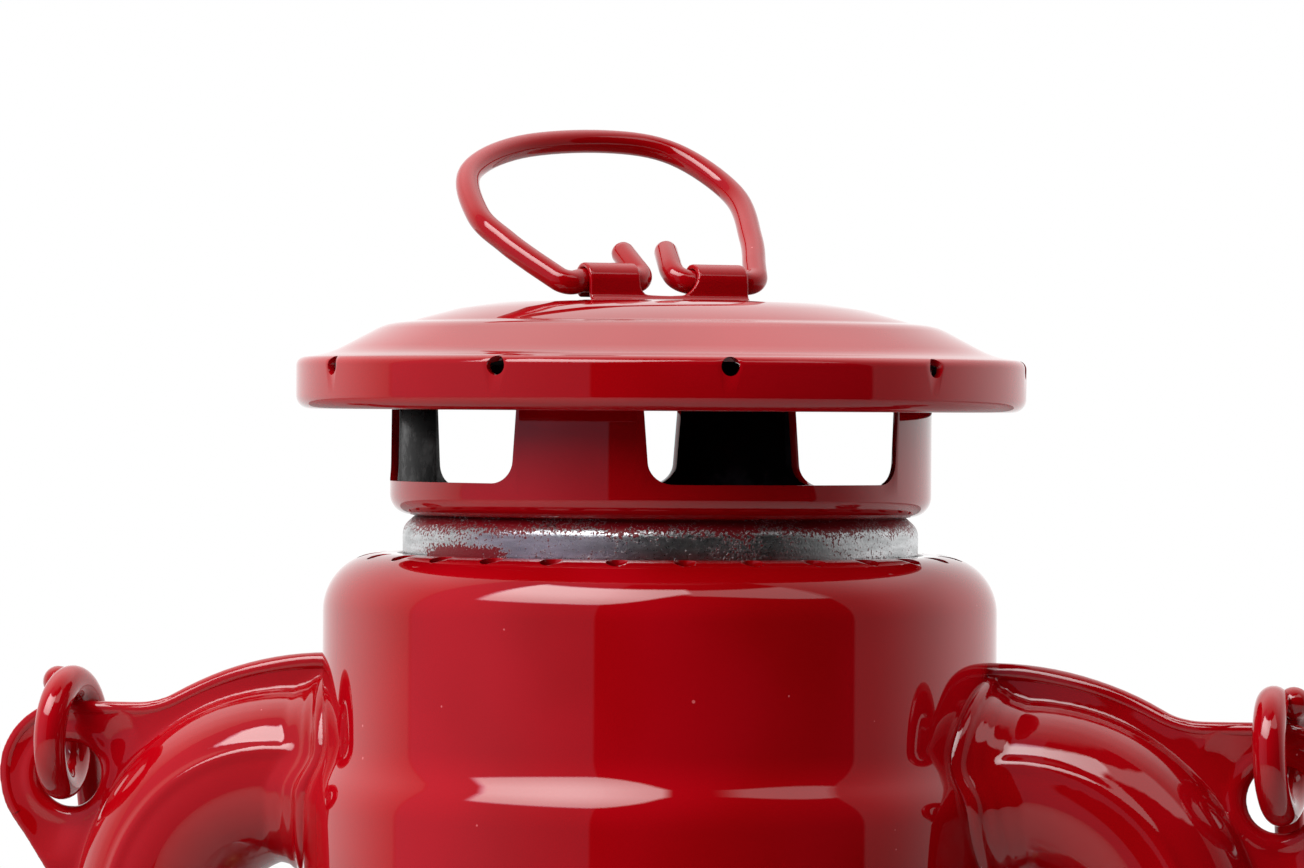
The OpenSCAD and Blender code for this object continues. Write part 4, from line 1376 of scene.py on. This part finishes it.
@dataclass
class SideTubes:
    """Both air tubes with their seam webs, ears, beads and collars, in millimetres."""

    tube_x: float = 56.5
    tube_r: float = 9.3
    tube_start: float = 34.0
    bend: float = 16.0
    high: float = 210.5
    low: float = 71.9
    web_half: float = 0.8
    web_top: float = 223.75
    web_start: float = 35.1
    web_x: float = 37.0
    web_edge_r: float = 36.0
    web_hollow_r: float = 10.0
    web_sunk: float = 1.5
    bead_r: float = 1.1
    bead_drop: float = 0.95
    bead_inset: float = 0.9
    bead_taper: float = 0.012
    bead_thin: float = 0.82
    ear_x: float = 67.0
    ear_z: float = 210.0
    ear_r: float = 8.1
    hole_r: float = 3.75
    lip_r: float = 1.15
    lip_out: float = 0.9
    taper: float = math.radians(35.7)
    dish: float = 1.3
    dish_area: float = 90.0
    wave: float = 0.22
    wave_turns: Spot = (0.5, 0.55)
    wave_start: float = 0.9
    press_width: float = 4.0
    crease: float = 2.8
    crease_r: float = 1.25
    crease_sunk: float = 0.95
    crease_fade: float = 18.0
    crease_foot: float = 174.0
    collar_section: tuple[Corner, ...] = (
        (0.0, -3.0, 0.0),
        (11.5, -3.0, 0.0),
        (11.9, 0.2, 0.5),
        (11.65, 0.95, 0.4),
        (10.7, 1.1, 0.8),
        (10.3, 2.3, 0.35),
        (9.95, 2.35, 0.35),
        (9.35, 4.4, 1.5),
        (9.0, 4.6, 0.0),
        (0.0, 4.6, 0.0),
    )
    drum_r: float = 38.1
    drum_upper_r: float = 36.1
    step_foot: float = 209.1
    step_h: float = 4.8
    cup_x: float = 26.0
    splice: float = 168.0
    overlap: float = 3.0
    voxel: float = 0.31

    def run(self, end: Vector, turn: Vector, foot: Vector) -> Workpiece:
        """A length of round tube with one bend, closed at both ends."""
        path = rounded([end, turn, foot], [0, self.bend, 0], step=4.0)
        return Workpiece.wire("right_tube_finished", path, self.tube_r, fineness=22)

    def ear_edge(self, inset: float, steps: int) -> list[Vector]:
        """Outer edge of the ear, from its top round to its straight lower side."""
        return upright(arc((self.ear_x, self.ear_z), self.ear_r - inset, math.pi / 2, -self.taper, steps))

    def web_edge(self) -> list[Vector]:
        """Upper edge of the web.

        Returns:
            Its points, from the drum out to the ear.
        """
        middle = self.web_top - self.web_edge_r
        hollow_z = self.ear_z + self.ear_r + self.web_hollow_r
        reach = self.web_edge_r + self.web_hollow_r
        end = math.asin((hollow_z - middle) / reach)
        hollow_x = self.web_x + reach * math.cos(end)
        edge = [(self.web_start, self.web_top)]
        edge += arc((self.web_x, middle), self.web_edge_r, math.pi / 2, end, steps=12)
        edge += arc((hollow_x, hollow_z), self.web_hollow_r, end + math.pi, 1.5 * math.pi, steps=6)[1:]
        return upright(edge)

    def web(self) -> Workpiece:
        """The flat seam web with the ear at its end.

        Returns:
            The web, with the ear's hole.
        """
        inner = self.bend + self.tube_r - self.web_sunk
        bend_x = self.tube_x - self.bend
        bend_z = self.high - self.bend
        ear = self.ear_edge(inset=0.0, steps=16)
        foot_x = bend_x + inner
        foot_z = ear[-1].z / MM - (ear[-1].x / MM - foot_x) / math.tan(self.taper)
        lower = [(foot_x, foot_z)] + arc((bend_x, bend_z), inner, 0.0, math.pi / 2, steps=12)
        lower.append((self.web_start, self.high + self.tube_r - self.web_sunk))
        outline = self.web_edge() + ear + upright(lower)
        for point in outline:
            point.y = -self.web_half * MM
        web = Workpiece.plate("web", outline, at(0, 2 * self.web_half, 0))
        drill = Workpiece.drill(self.hole_r, depth=8.0, sides=48, tilt=(math.pi / 2, 0, 0))
        return web.cut(drill.moved(Matrix.Translation(at(self.ear_x, 0, self.ear_z))))

    def lip(self) -> Workpiece:
        """Raised lip round the ear's hole."""
        ring = arc((self.ear_x, self.ear_z), self.hole_r + self.lip_out, 0.0, math.tau, steps=40)[:-1]
        return Workpiece.wire("ear_lip", upright(ring), self.lip_r, closed=True, fineness=4)

    def rim(self) -> Workpiece:
        """Bead of the web's upper edge, which runs on round the ear.

        Returns:
            The bead, pressed like the web.
        """
        path = [p - at(0, 0, self.bead_drop) for p in self.web_edge()]
        path += self.ear_edge(self.bead_inset, steps=18)
        shares = [max(self.bead_thin, 1.0 - self.bead_taper * i) for i in range(len(path))]
        bead = Workpiece.wire("web_bead", path, self.bead_r, shares=shares, fineness=6)
        return bead.shaped(self.pressed)

    def pressed(self, place: Vector) -> Vector:
        """Dishes the ear and leaves the web slightly wavy, as thin pressed sheet is.

        Args:
            place: A point of the flat web or of anything joined to it.

        Returns:
            The point moved along the hole's axis, unless it belongs to the tube.
        """
        x = place.x / MM
        z = place.z / MM
        outward = math.hypot(x - self.tube_x + self.bend, z - self.high + self.bend) - self.bend - self.tube_r
        share = eased(outward / self.press_width) if z > self.high - self.bend else 0.0
        bowl = max(0.0, 1.0 - math.hypot(x - self.ear_x, z - self.ear_z) ** 2 / self.dish_area)
        wave = math.sin(self.wave_turns[0] * x + self.wave_start) * math.sin(self.wave_turns[1] * z)
        return place + at(0, share * (self.dish * bowl + self.wave * wave), 0)

    def fold(self, side: int) -> Workpiece:
        """Raised crease along the pressed shell, outside the tube's middle line.

        Args:
            side: Minus one for the front shell, one for the rear.

        Returns:
            The crease as a wire that is sunk in the shell.
        """
        line_x = self.tube_x + self.crease
        line_z = self.high + self.crease
        y = side * (math.sqrt(self.tube_r ** 2 - self.crease ** 2) - self.crease_sunk)
        corners = [at(self.web_x, y, line_z), at(line_x, y, line_z), at(line_x, y, self.crease_foot)]
        path = rounded(corners, [0, self.bend + self.crease, 0], step=4.0)
        path[-1:] = [path[-2].lerp(path[-1], i / 8) for i in range(1, 9)]
        shares = [max(0.2, min(1.0, (p.z / MM - self.crease_foot) / self.crease_fade)) for p in path]
        return Workpiece.wire("shell_crease", path, self.crease_r, shares=shares, fineness=4)

    def saddled(self, place: Vector) -> Vector:
        """Turns the collar's disc to the side and wraps it round the drum and its step.

        Args:
            place: A point of the disc.

        Returns:
            Its place on the drum.
        """
        height = self.high + place.y / MM
        share = eased((height - self.step_foot) / self.step_h)
        wall = self.drum_r + (self.drum_upper_r - self.drum_r) * share
        return at(math.sqrt(wall ** 2 - (place.x / MM) ** 2) + place.z / MM, place.x / MM, height)

    def collar(self) -> Workpiece:
        """Flange round the tube's end that follows the drum's wall, with a fold behind it."""
        return Workpiece.turned("collar", profile(self.collar_section), steps=96).shaped(self.saddled)

    def build(self) -> Iterator[bpy.types.Object]:
        """Melts each side's upper pieces into one painted skin, and adds the plain lower tube.

        Yields:
            The finished tubes, right and left.
        """
        end = at(self.tube_start, 0, self.high)
        tube = self.run(end, at(self.tube_x, 0, self.high), at(self.tube_x, 0, self.splice))
        tube.joined(self.web(), self.lip(), self.fold(-1), self.fold(1), self.collar())
        tube.pool(self.voxel, rounds=10).shaped(self.pressed).joined(self.rim())
        top = at(self.tube_x, 0, self.splice + self.overlap)
        tube.joined(self.run(top, at(self.tube_x, 0, self.low), at(self.cup_x, 0, self.low)))
        tube.smooth(WIRE_ANGLE)
        left = tube.twin("left_tube_finished", Matrix.Scale(-1.0, 4, (1.0, 0.0, 0.0)))
        yield tube.dress(Body.FRAME, Slot.ENAMEL, "right_tube_front", "right_tube_rear")
        yield left.dress(Body.FRAME, Slot.ENAMEL, "left_tube_front", "left_tube_rear")


@dataclass
class Bail:
    """Wire handle with an eye bent through each ear, in millimetres."""

    pivot_z: float = 214.6
    ear_x: float = 67.0
    slack: float = 0.15
    wire_r: float = 1.75
    eye_r: float = 5.65
    eye_turn: float = math.radians(422)
    eye_steps: int = 60
    eye_start: float = 0.62
    pitch: float = 2.4
    length: float = 128.0
    corner: float = 55.0
    hang: float = math.radians(16.0)

    def build(self) -> Iterator[bpy.types.Object]:
        """One wire: eye, arm, grip, arm, eye.

        Yields:
            The finished bail.
        """
        reach = Vector((0, math.sin(self.hang), -math.cos(self.hang)))
        side = Vector((0, math.cos(self.hang), math.sin(self.hang)))
        pivot = at(0, 0, self.pivot_z)
        ear = at(self.ear_x, 0, 0)
        eye = []
        for i in range(self.eye_steps + 1):
            share = i / self.eye_steps
            turn = self.eye_turn * (1 - share)
            drift = at(self.pitch * (self.eye_start - share), 0, 0)
            spoke = (side * math.cos(turn) - reach * math.sin(turn)) * self.eye_r * MM
            eye.append(pivot + ear + drift + spoke)
        arm = reach * self.length * MM
        foot = pivot + side * self.eye_r * MM
        corners = [foot + ear, foot + ear + arm, foot - ear + arm, foot - ear]
        grip = rounded(corners, [0, self.corner, self.corner, 0], step=4.0)
        mirror = [Vector((-p.x, p.y, p.z)) for p in reversed(eye)]
        path = [p - at(self.slack, 0, 0) for p in eye[:-1] + grip + mirror[1:]]
        bail = Workpiece.wire("bail_finished", path, self.wire_r, round_ends=True, fineness=10)
        yield bail.smooth(WIRE_ANGLE).dress(Body.BAIL, Slot.ENAMEL, "bail")


@dataclass
class Tank:
    """Fuel tank with its seam, filler and cap, in millimetres."""

    sheet: float = 0.8
    steps: int = 256
    radius: float = 58.8
    height: float = 62.0
    shoulder: float = 24.0
    foot: float = 0.9
    hole_r: float = 14.05
    # Radius, drop below the top and corner round of the shallow ring.
    top_ring: tuple[Corner, ...] = ((33.0, 0.0, 0.0), (31.5, 0.7, 1.2), (29.8, 0.7, 1.2), (28.9, 0.0, 0.6))
    rim_h: float = 5.0
    floor_z: float = 4.2
    floor_r: float = 44.0
    gutter_z: float = 2.8
    gutter_r: Spot = (46.0, 57.15)
    seam_in: float = 57.2
    seam_out: float = 59.65
    seam_sheet: float = 0.7
    seam_gap: float = 0.05

    def shell(self) -> bpy.types.Object:
        """Drawn shell with a broad shoulder and a shallow ring round its top.

        Returns:
            The finished shell.
        """
        corners = [(self.radius, self.foot, 0.0), (self.radius, self.height, self.shoulder)]
        corners += [(r, self.height - drop, corner) for r, drop, corner in self.top_ring]
        corners.append((self.hole_r, self.height, 0.0))
        shell = Workpiece.turned("tank_shell_finished", profile(corners, step=5.0), self.steps)
        return shell.wall(self.sheet).smooth().dress(Body.FRAME, Slot.ENAMEL, "tank_shell")

    def base(self) -> bpy.types.Object:
        """Floor with the double seam folded up round the shell.

        Returns:
            The finished base.
        """
        line = profile([
            (0.0, self.floor_z, 0.0),
            (self.floor_r, self.floor_z, 2.0),
            (self.gutter_r[0], self.gutter_z, 2.0),
            (self.gutter_r[1], self.gutter_z, 0.8),
            (self.seam_in, 0.0, 0.8),
            (self.seam_out, 0.0, 0.9),
            (self.seam_out, self.rim_h, 0.5),
            (self.radius + self.seam_gap, self.rim_h, 0.0),
        ])
        base = Workpiece.turned("tank_base_finished", line, self.steps).wall(self.seam_sheet)
        return base.smooth().dress(Body.FRAME, Slot.ENAMEL, "tank_base")

    def build(self) -> Iterator[bpy.types.Object]:
        """Shell and base, then the filler's neck, gasket and fluted cap.

        Yields:
            Each finished piece.
        """
        yield self.shell()
        yield self.base()
        yield softened("filler_neck", Body.FRAME, Slot.ENAMEL, width=0.25)
        yield softened("filler_gasket", Body.GASKET, Slot.RUBBER, width=0.2)
        yield softened("filler_cap", Body.CAP, Slot.ENAMEL, width=0.3, segments=3)


@dataclass
class Burner:
    """Air cup, burner, wick and winder, in millimetres."""

    yaw: float = -25.0
    wick_w: float = 16.4
    wick_t: float = 2.6
    wick_foot: float = 13.0
    wick_top: float = 100.9
    selvedge: float = 0.8
    thin: float = 0.97
    rib: float = 0.03
    rib_pitch: float = 1.1
    ragged: float = 0.22
    ragged_h: float = 0.9
    ragged_turns: Spot = (3.1, 7.3)

    def trimmed(self, place: Vector) -> Vector:
        """Ribs the wick's faces and makes its top edge ragged.

        Args:
            place: A point of the plain wick.

        Returns:
            Its new place.
        """
        y = place.y / MM
        rib = 1.0 + self.rib * math.sin(y * math.tau / self.rib_pitch)
        uneven = math.sin(y * self.ragged_turns[0]) * math.cos(y * self.ragged_turns[1] + place.x / MM)
        lift = self.ragged * MM * uneven if place.z > (self.wick_top - self.ragged_h) * MM else 0.0
        return Vector((place.x * rib * self.thin, place.y, place.z + lift))

    def wick(self) -> bpy.types.Object:
        """Flat woven wick with ribbed faces, round selvedges and a trimmed, slightly ragged top.

        Returns:
            The finished wick.
        """
        bpy.ops.mesh.primitive_cube_add(size=1.0)
        wick = Workpiece.named("wick_finished")
        tall = self.wick_top - self.wick_foot
        size = Matrix.Diagonal((self.wick_t * MM, self.wick_w * MM, tall * MM, 1.0))
        wick.moved(Matrix.Translation(at(0, 0, (self.wick_top + self.wick_foot) / 2)) @ size)
        wick.soften(self.selvedge, segments=3)
        with wick.editing():
            bpy.ops.mesh.subdivide(number_cuts=14)
        wick.shaped(self.trimmed).moved(about_z(self.yaw)).smooth(angle=50)
        return wick.dress(Body.WICK, Slot.COTTON, "wick")

    def build(self) -> Iterator[bpy.types.Object]:
        """The cup that joins both tubes, the burner's brass, the winder and the wick.

        Yields:
            Each finished piece.
        """
        yield softened("air_cup", Body.FRAME, Slot.ENAMEL, width=0.2)
        brass = ("burner_collar", "burner_base", "burner_shell", "burner_cone", "wick_tube", "shaft_bush")
        for node in brass:
            yield softened(node, Body.FRAME, Slot.BRASS, width=0.15)
        for node in ("wick_shaft", "wick_sprockets"):
            yield softened(node, Body.WINDER, Slot.STEEL, width=0.1)
        yield softened("wick_knob", Body.WINDER, Slot.ENAMEL, width=0.3, segments=3)
        yield self.wick()


@dataclass
class GlobeCarriage:
    """Globe, plate, guides and guards that the lever lifts, in millimetres."""

    globe_foot: float = 88.8
    globe_top: float = 186.8
    globe_r: float = 41.0
    foot_r: float = 29.0
    mouth_r: float = 28.0
    lip: float = 5.0
    glass: float = 2.2
    polish: float = 0.8
    guide_x: float = 43.6
    guide_foot: float = 89.8
    guide_mid: float = 120.0
    guide_top: float = 164.8
    wire_r: float = 1.0
    hoop_r: float = 45.2
    hoop_steps: int = 120
    bite: float = 0.1

    def globe(self) -> bpy.types.Object:
        """Blown globe with fire-polished rims.

        Returns:
            The finished globe.
        """
        middle = (self.globe_foot + self.globe_top) / 2
        half = (self.globe_top - self.globe_foot) / 2 - self.lip
        bow = (half ** 2 + (self.globe_r - self.foot_r) ** 2) / (2 * (self.globe_r - self.foot_r))
        swing = math.asin(half / bow)
        line = [(self.foot_r, self.globe_foot)]
        line += arc((self.globe_r - bow, middle), bow, -swing, swing - math.radians(1), steps=40)
        line.append((self.mouth_r, self.globe_top))
        globe = Workpiece.turned("globe_finished", upright(line), steps=160).wall(self.glass)
        globe.soften(self.polish, segments=4, angle=60).smooth(angle=50)
        return globe.dress(Body.CARRIAGE, Slot.GLASS, "globe")

    def guide(self, node: str, side: int) -> bpy.types.Object:
        """Upright guide wire with domed ends.

        Args:
            node: Its CAD node.
            side: Minus one for the left, one for the right.

        Returns:
            The finished wire.
        """
        path = [at(side * self.guide_x, 0, z) for z in (self.guide_foot, self.guide_mid, self.guide_top)]
        wire = Workpiece.wire(node + "_finished", path, self.wire_r, round_ends=True, fineness=5)
        return wire.smooth(WIRE_ANGLE).dress(Body.CARRIAGE, Slot.TIN, node)

    def hoop(self, node: str, radius: float, side: int) -> bpy.types.Object:
        """One guard hoop, leaning across the globe.

        Args:
            node: Its CAD node.
            radius: Radius of the hoop.
            side: Side that it leans to.

        Returns:
            The finished hoop.
        """
        reach = self.guide_x - 2 * self.wire_r + self.bite
        lean = Matrix.Rotation(side * math.acos(reach / radius), 4, "Y")
        ring = [at(x, y, 0) for x, y in arc((0.0, 0.0), radius, 0.0, math.tau, self.hoop_steps)[:-1]]
        hoop = Workpiece.wire(node + "_finished", ring, self.wire_r, closed=True, fineness=5)
        middle = (self.globe_foot + self.globe_top) / 2
        hoop.moved(Matrix.Translation(at(0, 0, middle)) @ lean).smooth(WIRE_ANGLE)
        return hoop.dress(Body.CARRIAGE, Slot.TIN, node)

    def build(self) -> Iterator[bpy.types.Object]:
        """All pieces of the carriage, one after the other.

        Yields:
            Each finished piece.
        """
        yield self.globe()
        yield softened("globe_plate", Body.CARRIAGE, Slot.TIN, width=0.12)
        yield self.guide("left_guide_wire", -1)
        yield self.guide("right_guide_wire", 1)
        yield self.hoop("guard_hoop_inner", self.hoop_r, 1)
        yield self.hoop("guard_hoop_outer", self.hoop_r + 2 * (self.wire_r - self.bite), -1)


@dataclass
class LiftGear:
    """Lever, its pivot and the guide clips on the tubes; widths of their rounded edges in millimetres."""

    clip_edge: float = 0.15
    pivot_edge: float = 0.2
    lever_edge: float = 0.3

    def build(self) -> Iterator[bpy.types.Object]:
        """Softened copies of the pressed pieces.

        Yields:
            Each finished piece.
        """
        for node in ("left_guide_clip", "right_guide_clip"):
            yield softened(node, Body.FRAME, Slot.ENAMEL, self.clip_edge)
        yield softened("lever_pivot", Body.FRAME, Slot.STEEL, self.pivot_edge, segments=3)
        yield softened("lift_lever", Body.LEVER, Slot.ENAMEL, self.lever_edge, segments=3)


@dataclass
class Studio:
    """Camera, floor, lamps and surround of the photograph.

    The camera's lengths and lamp_goal are in millimetres, floor_r and lamp_distance in metres. The bearing
    turns the camera about the lantern's axis. A pair of bearings is a soft edge, in degrees to the right of
    the camera, a pair of heights is one in sines of a ray's rise, and levels are the strengths at two ends.
    """

    bearing: float = 14.6
    distance: float = 686.0
    eye: float = 250.3
    aim: float = 247.83
    aside: float = -0.965
    lens: float = 176.7
    sensor: float = 36.0
    roll: float = 0.355
    floor_r: float = 1.1
    panel_left: Spot = (-95.0, -92.0)
    panel_right: Spot = (-22.6, -21.2)
    room_right: Spot = (68.2, 69.8)
    room_grey: float = 0.012
    room_foot: Spot = (-0.75, -0.45)
    room_top: Spot = (0.95, 0.985)
    white_levels: Spot = (0.25, 1.1)
    panel_levels: Spot = (0.37, 0.22)
    box_levels: Spot = (9.2, 5.6)
    box_left: Spot = (-73.0, -68.0)
    box_right: Spot = (12.0, 16.0)
    strip_left: Spot = (10.0, 16.0)
    strip_right: Spot = (66.0, 72.0)
    strip_power: float = 1.6
    panel_tint: Colour = (1.15, 0.98, 1.30)
    ambient: float = 0.145
    ambient_lean: float = 1.3
    overhead: float = 1.9
    lamp_goal: float = 225.0
    lamp_distance: float = 0.85

    def towards(self, side: float, rise: float) -> Vector:
        """Direction seen from the lantern.

        Args:
            side: Bearing to the right of the camera, in degrees.
            rise: Height above the horizon, in degrees.

        Returns:
            The unit vector.
        """
        turn = math.radians(side + self.bearing)
        up = math.radians(rise)
        return Vector((math.sin(turn) * math.cos(up), -math.cos(turn) * math.cos(up), math.sin(up)))

    def camera(self) -> None:
        """Long lens, level with the hood's rim."""
        turn = math.radians(self.bearing)
        data = bpy.data.cameras.new("camera")
        data.lens = self.lens
        data.sensor_width = self.sensor
        data.clip_start = 0.05
        camera = bpy.data.objects.new("camera", data)
        bpy.context.scene.collection.objects.link(camera)
        place = at(self.distance * math.sin(turn), -self.distance * math.cos(turn), self.eye)
        goal = at(self.aside * math.cos(turn), self.aside * math.sin(turn), self.aim)
        camera.location = place
        look = (goal - place).to_track_quat("-Z", "Y")
        camera.rotation_mode = "QUATERNION"
        camera.rotation_quaternion = look @ Quaternion((0, 0, 1), math.radians(self.roll))
        bpy.context.scene.camera = camera

    def floor(self) -> None:
        """Pale round floor."""
        Workpiece.clear()
        bpy.ops.mesh.primitive_circle_add(vertices=96, radius=self.floor_r, fill_type="NGON")
        floor = Workpiece.named("floor").obj
        floor.data.materials.append(PaleFloor().material())

    def surround(self) -> None:
        """White room that is dark on the camera's side, with a dim panel on the left and lights above."""
        world = bpy.data.worlds.new("surround")
        bpy.context.scene.world = world
        world.use_nodes = True
        shader = Shader(world.node_tree)
        turn = math.radians(self.bearing)
        ray = shader.node("ShaderNodeTexCoord", out="Generated")
        x, y, z = (shader.axis(ray, i) for i in range(3))
        front = x * math.sin(turn) - y * math.cos(turn)
        side = x * math.cos(turn) + y * math.sin(turn)
        bearing = side.turn_to(front)

        def swept(low: float, high: float, first: float = 0.0, last: float = 1.0) -> Field:
            """Smooth step from one bearing to another, in degrees."""
            return shader.ramp(bearing, math.radians(low), math.radians(high), first, last)

        def sector(left: Spot, right: Spot) -> Field:
            """One between two soft edges at these bearings, in degrees."""
            return swept(left[0], left[1]) * swept(right[1], right[0])

        # What a reflection sees: the white room, the dark camera side, the panel and the lights.
        # Numbers beside z are sines of a ray's rise.
        level = shader.window(z, self.room_foot, self.room_top)
        panel = sector(self.panel_left, self.panel_right)
        room = sector(self.panel_right, self.room_right)
        dim = level * (room + panel)
        haze = swept(-65.0, -25.0, *self.panel_levels)
        white = shader.ramp(front, 0.3, -0.6, *self.white_levels) * (1.0 + shader.ramp(z, 0.5, 0.8) * 0.45)
        box_z = z - swept(-26.0, 15.0) * 0.30
        box = sector(self.box_left, self.box_right)
        box = box * shader.ramp(box_z, 0.48, 0.53) * shader.ramp(z, 0.905, 0.875)
        glow = swept(-40.0, 12.0, *self.box_levels) * shader.ramp(z, 0.5, 0.78, 0.6, 1.0)
        strip_z = z + swept(12.0, 70.0) * 0.15
        strip = sector(self.strip_left, self.strip_right)
        strip = strip * shader.ramp(strip_z, 0.745, 0.775) * shader.ramp(z, 0.885, 0.86)
        seen = white * (1.0 - dim) + dim * (panel * haze + room * self.room_grey)
        seen = seen + box * glow + strip * self.strip_power
        # The camera sees plain white, also through glass, and all other rays bring a soft fill.
        rays = ("Is Camera Ray", "Is Glossy Ray", "Is Transmission Ray")
        camera, glossy, through = (shader.node("ShaderNodeLightPath", out=name) for name in rays)
        clear = camera.larger(through)
        fill = self.ambient * (1.0 - side * self.ambient_lean) + shader.ramp(z, 0.6, 0.95) * self.overhead
        strength = clear + (1.0 - clear) * (glossy * seen + (1.0 - glossy) * fill.larger(0.0))
        tint = shader.blend(glossy * panel * level * (1.0 - box), (1.0, 1.0, 1.0), self.panel_tint)
        surface = shader.node("ShaderNodeBackground", {}, {"Color": tint, "Strength": strength})
        shader.node("ShaderNodeOutputWorld", {}, {"Surface": surface})

    def lamp(self, name: str, way: Vector, size: Spot, power: float) -> None:
        """One soft panel that faces the lantern.

        Args:
            name: Name of the lamp.
            way: Direction in which it stands.
            size: Width and height in metres.
            power: Power in watts.
        """
        data = bpy.data.lights.new(name, "AREA")
        data.shape = "RECTANGLE"
        data.size, data.size_y = size
        data.energy = power
        lamp = bpy.data.objects.new(name, data)
        goal = at(0, 0, self.lamp_goal)
        lamp.location = goal + way * self.lamp_distance
        lamp.rotation_euler = (goal - lamp.location).to_track_quat("-Z", "Y").to_euler()
        lamp.visible_camera = False
        lamp.visible_glossy = False
        bpy.context.scene.collection.objects.link(lamp)

    def build(self) -> None:
        """Camera, floor, surround and lamps."""
        self.camera()
        self.floor()
        self.surround()
        self.lamp("key_softbox", self.towards(side=-56, rise=35), size=(0.86, 0.60), power=11.0)
        self.lamp("rim_softbox", self.towards(side=122, rise=18), size=(0.60, 0.60), power=8.0)
        bpy.context.scene.view_settings.view_transform = "Standard"


def main() -> None:
    """Builds the lantern's pieces in order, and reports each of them."""
    logging.basicConfig(level=logging.INFO, format="%(name)s %(message)s")
    Studio().build()
    upper = (Hood(), LiftingRing(), Chimney(), Drum(), SideTubes(), Bail())
    lower = (Tank(), Burner(), GlobeCarriage(), LiftGear())
    for assembly in upper + lower:
        for piece in assembly.build():
            log.info("%s: %d faces", piece.name, len(piece.data.polygons))
    Workpiece.clear()


if __name__ == "__main__":
    main()
